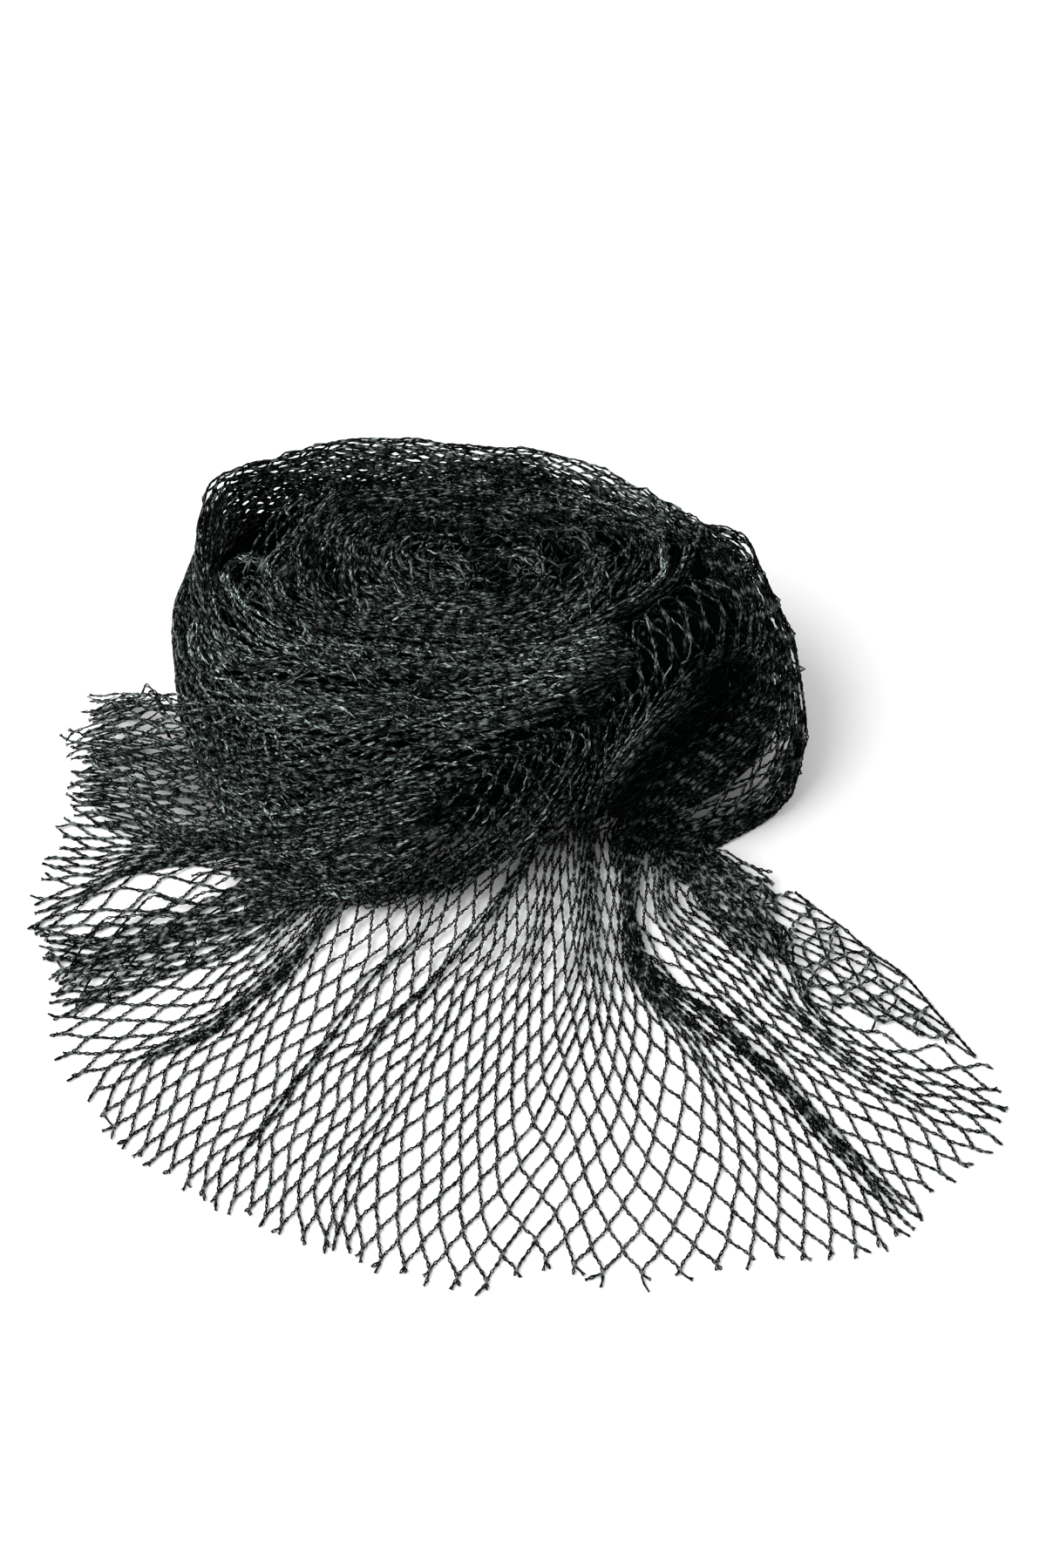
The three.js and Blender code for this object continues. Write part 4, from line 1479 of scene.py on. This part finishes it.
class NET_OT_coil_core(bpy.types.Operator):
    """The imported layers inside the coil, just under the strands that show"""

    bl_idname = "bird_net.coil_core"
    bl_label = "Coil core"

    def execute(self, context):
        tree = solid_tree("roll")
        eye = np.array(COIL_EYE, float) * MM
        rings = []
        for angle in np.radians(np.arange(0, 360, CORE_STEP)):
            edge, shoulder = core_side(tree, angle)
            most = (CORE_TOP + CORE_TOP_LIFT * shoulder) * MM
            top = []
            for share in CORE_TOP_SHARES:
                spot = eye + (edge[-1, :2] - eye) * share
                hit = tree.ray_cast(Vector((*spot, FAR_UP)), Vector((0, 0, -1)))[0]
                top.append((*spot, min(hit[2], most) - CORE_TOP_INSET * MM))
            rings.append(np.vstack([edge, top]))
        rings = np.array(rings)
        count, length = rings.shape[:2]
        index = np.arange(count * length).reshape(count, length)
        ahead = np.roll(index, -1, axis=0)
        faces = []
        for k in range(length - 1):
            quad = [index[:, k], ahead[:, k], ahead[:, k + 1], index[:, k + 1]]
            faces += np.stack(quad, axis=1).tolist()
        foot = count * length
        points = rings.reshape(-1, 3).tolist() + [[0, 0, CORE_FOOT * MM], [*eye, CORE_EYE * MM]]
        for k in range(count):
            faces.append([foot, int(ahead[k, 0]), int(index[k, 0])])
            faces.append([foot + 1, int(index[k, -1]), int(ahead[k, -1])])
        mesh = bpy.data.meshes.new("coil_core")
        mesh.from_pydata(points, [], faces)
        mesh.update()
        piece = bpy.data.objects.new("coil_core", mesh)
        context.scene.collection.objects.link(piece)
        bpy.ops.object.select_all(action="DESELECT")
        context.view_layer.objects.active = piece
        piece.select_set(True)
        bpy.ops.object.shade_smooth()
        mesh.materials.append(depth_material())
        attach(piece, BODY)
        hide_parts("roll")
        return {"FINISHED"}


class NET_OT_turns(bpy.types.Operator):
    """The spiral turns on top of the coil"""

    bl_idname = "bird_net.turns"
    bl_label = "Coil turns"

    def execute(self, context):
        net = settings()[0]
        rng = np.random.default_rng(16)
        parts = []
        spans = np.linspace(0, SPIRAL_TURNS, SPIRAL_STEPS)
        side = np.linspace(-SPIRAL_HALF, SPIRAL_HALF, SPIRAL_LINES)
        innermost = TURN_RINGS[-1]["turn"]
        for low in SPIRAL_LOWS:
            turn = np.clip(side[:, None] + spans[None, :] + SPIRAL_START, 0, innermost)
            turn = np.clip(turn + SPIRAL_STRAY * soft_noise(rng, turn.shape, (3, 30)), 0, innermost)
            pixels = parted(strayed(ring_pixels(turn, spans % 1), rng, 3, (4, 30)))
            crest = SPIRAL_CREST + SPIRAL_SWELL * soft_noise(rng, (2, len(spans)), (2, 16))[:1]
            ridge = crest * np.cos(np.pi * side / SPIRAL_ARCH)[:, None] - SPIRAL_SINK
            ridge = ridge + soft_noise(rng, turn.shape, (5, 40))
            height = (TURN_HEIGHT + ridge) * MM + fold_rise(pixels)
            sheet = Sheet(on_floor(pixels, height), side=1, even=True, lit=lit_share(pixels, HOLLOWS))
            parts.append(net_chains(
                sheet, SPIRAL_BAR * net.bar, rng, segments=4, start=rng.uniform(-6, 0) * MM, wander=0.4 * MM,
                lift=(low * MM, (low + 1.8) * MM), loose=0.4 * MM, drift=0.8 * MM, bunch=0.4,
                stitch=GATHERED_STITCH,
            ))
        # Painted shade: the spiral under the top folds shows only half its painted glints
        dress_coil("turns_net", parts, rng, girth=0.75, painted_glint=0.5, plies=1)
        return {"FINISHED"}


class NET_OT_top_folds(bpy.types.Operator):
    """The gathered folds that lie on the spiral turns"""

    bl_idname = "bird_net.top_folds"
    bl_label = "Top folds"

    def execute(self, context):
        net = settings()[0]
        rng = np.random.default_rng(22)
        parts = []
        for fold in TOP_FOLDS:
            steps = 10 * len(fold["path"])
            pixels, across = run_pixels(fold, steps, rng, stray=1.8)
            pixels = parted(pixels)
            arch = np.cos(np.pi * across / 2)
            ends = np.clip(8 * np.minimum(np.linspace(0, 1, steps), np.linspace(1, 0, steps)), 0, 1)
            rise = (fold["crest"] + FOLD_CREST) * arch - FOLD_SINK - FOLD_END_SINK * (1 - ends)[None, :]
            rise = rise + FOLD_STRAY * soft_noise(rng, rise.shape, (3, max(4, steps // 6)))
            # Painted highlight along the crest of each fold, painted shade at its foot
            lit = lit_share(pixels, HOLLOWS) * (FOLD_FOOT_LIT + FOLD_CREST_LIT * arch ** 2)
            sheet = Sheet(on_floor(pixels, (TURN_HEIGHT + rise) * MM), side=1, even=True, lit=lit)
            parts.append(net_chains(
                sheet, net.bar, rng, segments=6, start=rng.uniform(-8, 0) * MM, wander=0.7 * MM,
                lift=(-0.6 * MM, 0.8 * MM), loose=0.3 * MM, drift=0.8 * MM, bunch=0.35,
                stitch=GATHERED_STITCH,
            ))
        # Painted highlight: the folds on top glint about twice as strongly as a plain piece
        dress_coil("top_folds_net", parts, rng, girth=0.74, painted_glint=2.1)
        return {"FINISHED"}


class NET_OT_wrap(bpy.types.Operator):
    """The outermost turn round the coil, whose sheer edge stands above it at the back"""

    bl_idname = "bird_net.wrap"
    bl_label = "Outer turn"

    def execute(self, context):
        net = settings()[0]
        rng = np.random.default_rng(17)
        tree = solid_tree("roll")
        bar = WRAP_BAR * net.bar
        parts = []
        for layer in WRAP_LAYERS:
            lines = 2 * layer["meshes"] + 1
            low = layer["low"]
            count = max(WRAP_LEAST, int((layer["last"] - layer["first"]) / WRAP_STEP))
            bearing = np.radians(np.linspace(layer["first"], layer["last"], count))
            grid = wrap_grid(tree, layer, bearing, lines)
            # Painted shade: the glints of the outer turn fade out at the back left
            shaded = np.clip(SHADE_FULL - np.abs(np.degrees(bearing) - SHADE_BEARING) / SHADE_REACH, 0, 1)
            sheet = Sheet(eased(grid, 3), side=-1, even=True, lit=(1 - SHADE_LOSS * shaded)[None, :])
            if layer["top"] == 1.0:
                parts.append(edge_strand(sheet, lines - 1, rng, low * MM))
            parts.append(net_chains(
                sheet, bar, rng, segments=3, start=rng.uniform(-8, 0) * MM, wander=LAYER_WANDER * MM,
                lift=(low * MM, (low + 0.6) * MM), loose=0.3 * MM, drift=1.2 * MM, bunch=0.6,
                stitch=GATHERED_STITCH,
            ))
        bearing = np.radians(np.linspace(*END_BEARINGS, END_PROFILES))
        sides = np.stack([core_side(tree, angle)[0] for angle in bearing], axis=1)
        grid = smooth_through(np.linspace(0, 1, CORE_ROWS), sides, np.linspace(0, 1, END_LINES))
        # Painted shade: the layer on the core's right end keeps only a small share of its painted glints
        parts.append(net_chains(
            Sheet(grid, side=-1, even=True, lit=END_LIT), bar, rng, segments=3, wander=LAYER_WANDER * MM,
            lift=(0.4 * MM, 1.0 * MM), loose=0.3 * MM, drift=1.2 * MM, bunch=0.6, stitch=GATHERED_STITCH,
        ))
        dress_coil("wrap_net", parts, rng, girth=0.88, painted_glint=0.8, plies=1)
        return {"FINISHED"}


class NET_OT_brow(bpy.types.Operator):
    """The outer turn where it comes round the left end and over the front of the top"""

    bl_idname = "bird_net.brow"
    bl_label = "Front brow"

    def execute(self, context):
        rng = np.random.default_rng(20)
        parts = coil_layers(
            BROW_RIBS, rng, steps=80, stray=4, lows=(-3.5, -1.5, 0.4), sink=8 * MM, drift=1.4,
        )
        # Painted shade: the deeper layers show fewer painted glints than the top one
        dress_coil("brow_net", parts, rng, girth=0.82, painted_glint=(0.6, 1.1, 1.3))
        return {"FINISHED"}


class NET_OT_skirt(bpy.types.Operator):
    """The gathered layers that sweep over the front of the coil to their cut ends on the left"""

    bl_idname = "bird_net.skirt"
    bl_label = "Front skirt"

    def execute(self, context):
        rng = np.random.default_rng(14)
        parts = coil_layers(
            SKIRT_RIBS, rng, steps=70, stray=4.5, lows=(-4.5, -2.0, 0.4), cut=True, bed=4 * MM,
            starts=(0, 0, 0.02), bunch=0.5, dip=5 * MM,
        )
        # Painted shade: the deeper layers show fewer painted glints than the top one
        dress_coil("skirt_net", parts, rng, girth=0.85, painted_glint=(0.34, 0.58, 0.76))
        return {"FINISHED"}


class NET_OT_hem(bpy.types.Operator):
    """The lower edge of the gathered layers, over the foot of the coil"""

    bl_idname = "bird_net.hem"
    bl_label = "Lower hem"

    def execute(self, context):
        rng = np.random.default_rng(19)
        parts = coil_layers(
            HEM_RIBS, rng, steps=60, stray=5, lows=(-4.0, -1.8, 0.4), cut=True, bed=2 * MM, bunch=0.5,
        )
        # Painted shade: the deeper layers show fewer painted glints than the top one
        dress_coil("hem_net", parts, rng, girth=0.85, painted_glint=(0.4, 0.75, 0.85))
        return {"FINISHED"}


class NET_OT_drape(bpy.types.Operator):
    """The outer turn where it folds over on the right and hangs down to the fan"""

    bl_idname = "bird_net.drape"
    bl_label = "Right drape"

    def execute(self, context):
        rng = np.random.default_rng(15)
        parts = coil_layers(
            PINCH_RIBS, rng, steps=40, stray=3, lows=(-3.0,), side=-1, bed=3 * MM, hollows=DRAPE_HOLLOWS,
        )
        parts += coil_layers(
            DRAPE_RIBS, rng, steps=60, stray=3, lows=(-2.8, -0.8), side=-1, bed=2 * MM, bunch=0.3,
            sink=9 * MM, drift=1.2, hollows=DRAPE_HOLLOWS,
        )
        parts += coil_layers(
            DRAPE_RIBS, rng, steps=60, stray=1.5, lows=(1.6,), segments=7, side=-1, bed=2 * MM, bunch=0.15,
            sink=9 * MM, drift=0.5, first=1.5 * MM, hollows=DRAPE_HOLLOWS,
        )
        parts += coil_layers(
            DRAPE_RIBS[:6], rng, steps=50, stray=5, lows=(-5.0, -3.6), side=-1, bed=2 * MM,
            hollows=DRAPE_HOLLOWS,
        )
        # Painted shade: the drape lies away from the light and keeps little of its painted glints, its top
        # layer the most
        dress_coil("drape_net", parts, rng, girth=0.74, painted_glint=(0.1, 0.1, 0.13, 0.55, 0.1, 0.12))
        return {"FINISHED"}


class NET_OT_lobe(bpy.types.Operator):
    """The outer turn round the right end, sheer along its edge"""

    bl_idname = "bird_net.lobe"
    bl_label = "Right lobe"

    def execute(self, context):
        rng = np.random.default_rng(18)
        parts = coil_layers(
            LOBE_RIBS, rng, steps=60, stray=1.0, lows=(-2.0, 0.8), segments=7, side=-1, bunch=0.2, drift=0.5,
            edge=True, hollows=DRAPE_HOLLOWS,
        )
        parts += coil_layers(
            LOBE_RIBS[:4], rng, steps=60, stray=3, lows=(-4.0,), side=-1, bunch=0.4, hollows=DRAPE_HOLLOWS,
        )
        parts += coil_layers(
            HEEL_RIBS, rng, steps=40, stray=2, lows=(-1.5, 0.6), side=-1, bunch=0.4, hollows=DRAPE_HOLLOWS,
        )
        # Painted shade: the lobe lies away from the light and keeps little of its painted glints
        dress_coil("lobe_net", parts, rng, girth=0.82, painted_glint=(0.12, 0.12, 0.17, 0.17, 0.09, 0.14, 0.17))
        return {"FINISHED"}


class NET_OT_fan(bpy.types.Operator):
    """The cut end, fanned out over the floor in front of the coil"""

    bl_idname = "bird_net.fan"
    bl_label = "Fanned end"

    def execute(self, context):
        net = settings()[0]
        rng = np.random.default_rng(11)
        steps = 60
        pixels = gathered(strayed(rib_grid(FAN_RIBS, steps), rng, 2.4, knots=(26, 9)))
        share = np.linspace(0, 1, steps)
        climb = FAN_CLIMB * np.clip(share - FAN_CLIMB_START, 0, 1) ** FAN_CLIMB_CURVE
        height = (FAN_HEIGHT + climb) * MM
        sheet = Sheet(on_floor(pixels, np.broadcast_to(height, pixels.shape[:2])), side=-1)
        chains = net_chains(sheet, net.bar, rng, segments=8, lift=(0.1 * MM, 0.5 * MM))
        chains = cut_tails(*chains, rng, net.tail)
        place_net("fan_net", [chains], rng, girth=0.91, painted_glint=0.3,
                  node="loose_end")
        return {"FINISHED"}


class NET_OT_pleats(bpy.types.Operator):
    """The narrow pleats in the fan, where the net lies over itself"""

    bl_idname = "bird_net.pleats"
    bl_label = "Pleats"

    def execute(self, context):
        net = settings()[0]
        rng = np.random.default_rng(21)
        parts = []
        steps = 40
        for pleat in PLEATS:
            pixels, across = run_pixels(pleat, steps, rng, stray=1.5)
            rise = (PLEAT_HEIGHT + PLEAT_CREST * np.cos(np.pi * across / 2)) * np.ones((1, steps)) * MM
            sheet = Sheet(on_floor(pixels, rise), side=-1)
            parts.append(net_chains(
                sheet, net.bar, rng, segments=7, start=rng.uniform(0, 6) * MM, drift=1.5 * MM,
                lift=(0.0, 0.8 * MM),
            ))
        dress_fan("pleats_net", parts, rng, girth=0.88, painted_glint=0.15)
        return {"FINISHED"}


class NET_OT_flap(bpy.types.Operator):
    """The corner of the end that is folded back over itself on the right"""

    bl_idname = "bird_net.flap"
    bl_label = "Folded corner"

    def execute(self, context):
        net = settings()[0]
        rng = np.random.default_rng(12)
        parts = []
        for layer in FLAP_LAYERS:
            pixels = strayed(rib_grid(layer["ribs"], 40), rng, layer["stray"])
            sheet = Sheet(on_floor(pixels, layer["height"]), side=-1)
            chains = net_chains(
                sheet, net.bar, rng, segments=7, wander=0.5 * MM, drift=0.4 * MM, lift=(0.0, 1.0 * MM),
            )
            parts.append(cut_tails(*chains, rng, net.tail) if layer["cut"] else chains)
        fold = np.array([rib["path"][0] for rib in FLAP_RIBS], float)
        fold = np.stack([fold, fold + 2, fold + 4])
        parts.append(edge_strand(Sheet(on_floor(fold, FOLD_EDGE_HEIGHT * MM)), 0, rng, lift=0.0))
        dress_fan("flap_net", parts, rng, girth=0.92, painted_glint=0.35)
        return {"FINISHED"}


class NET_OT_tail(bpy.types.Operator):
    """The lower layers of the cut end that lie over each other on the left"""

    bl_idname = "bird_net.tail"
    bl_label = "Layered end"

    def execute(self, context):
        net = settings()[0]
        rng = np.random.default_rng(13)
        parts = []
        for layer in TAIL_LAYERS:
            pixels = strayed(rib_grid(layer["ribs"], 44), rng, layer["stray"])
            sheet = Sheet(on_floor(pixels, layer["height"]))
            chains = net_chains(
                sheet, net.bar, rng, segments=7, start=rng.uniform(0, 4) * MM, drift=0.7 * MM,
                lift=(0.0, 0.9 * MM),
            )
            parts.append(cut_tails(*chains, rng, net.tail))
        dress_fan("tail_net", parts, rng, girth=0.9, painted_glint=0.35)
        return {"FINISHED"}


class NET_PT_panel(bpy.types.Panel):
    """Sidebar list of the net's pieces"""

    bl_idname = "NET_PT_bird_net"
    bl_label = "Bird netting"
    bl_space_type = "VIEW_3D"
    bl_region_type = "UI"
    bl_category = "Bird netting"

    def draw(self, context):
        for operator in OPERATORS:
            self.layout.operator(operator.bl_idname)


OPERATORS = (
    NET_OT_stage,
    NET_OT_coil_core,
    NET_OT_turns,
    NET_OT_top_folds,
    NET_OT_wrap,
    NET_OT_brow,
    NET_OT_skirt,
    NET_OT_hem,
    NET_OT_drape,
    NET_OT_lobe,
    NET_OT_fan,
    NET_OT_pleats,
    NET_OT_flap,
    NET_OT_tail,
)
CLASSES = (NetSettings, FinishSettings, StageSettings, *OPERATORS, NET_PT_panel)


def register():
    """Registers the settings, the operators and the panel."""
    for cls in CLASSES:
        bpy.utils.register_class(cls)
    bpy.types.Scene.bird_net = bpy.props.PointerProperty(type=NetSettings)
    bpy.types.Scene.bird_net_finish = bpy.props.PointerProperty(type=FinishSettings)
    bpy.types.Scene.bird_net_stage = bpy.props.PointerProperty(type=StageSettings)


def unregister():
    """Takes them away again."""
    del bpy.types.Scene.bird_net_stage
    del bpy.types.Scene.bird_net_finish
    del bpy.types.Scene.bird_net
    for cls in reversed(CLASSES):
        bpy.utils.unregister_class(cls)


def main():
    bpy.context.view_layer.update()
    register()
    bpy.ops.bird_net.stage()
    bpy.ops.bird_net.coil_core()
    bpy.ops.bird_net.turns()
    bpy.ops.bird_net.top_folds()
    bpy.ops.bird_net.wrap()
    bpy.ops.bird_net.brow()
    bpy.ops.bird_net.skirt()
    bpy.ops.bird_net.hem()
    bpy.ops.bird_net.drape()
    bpy.ops.bird_net.lobe()
    bpy.ops.bird_net.fan()
    bpy.ops.bird_net.pleats()
    bpy.ops.bird_net.flap()
    bpy.ops.bird_net.tail()


if __name__ == "__main__":
    main()
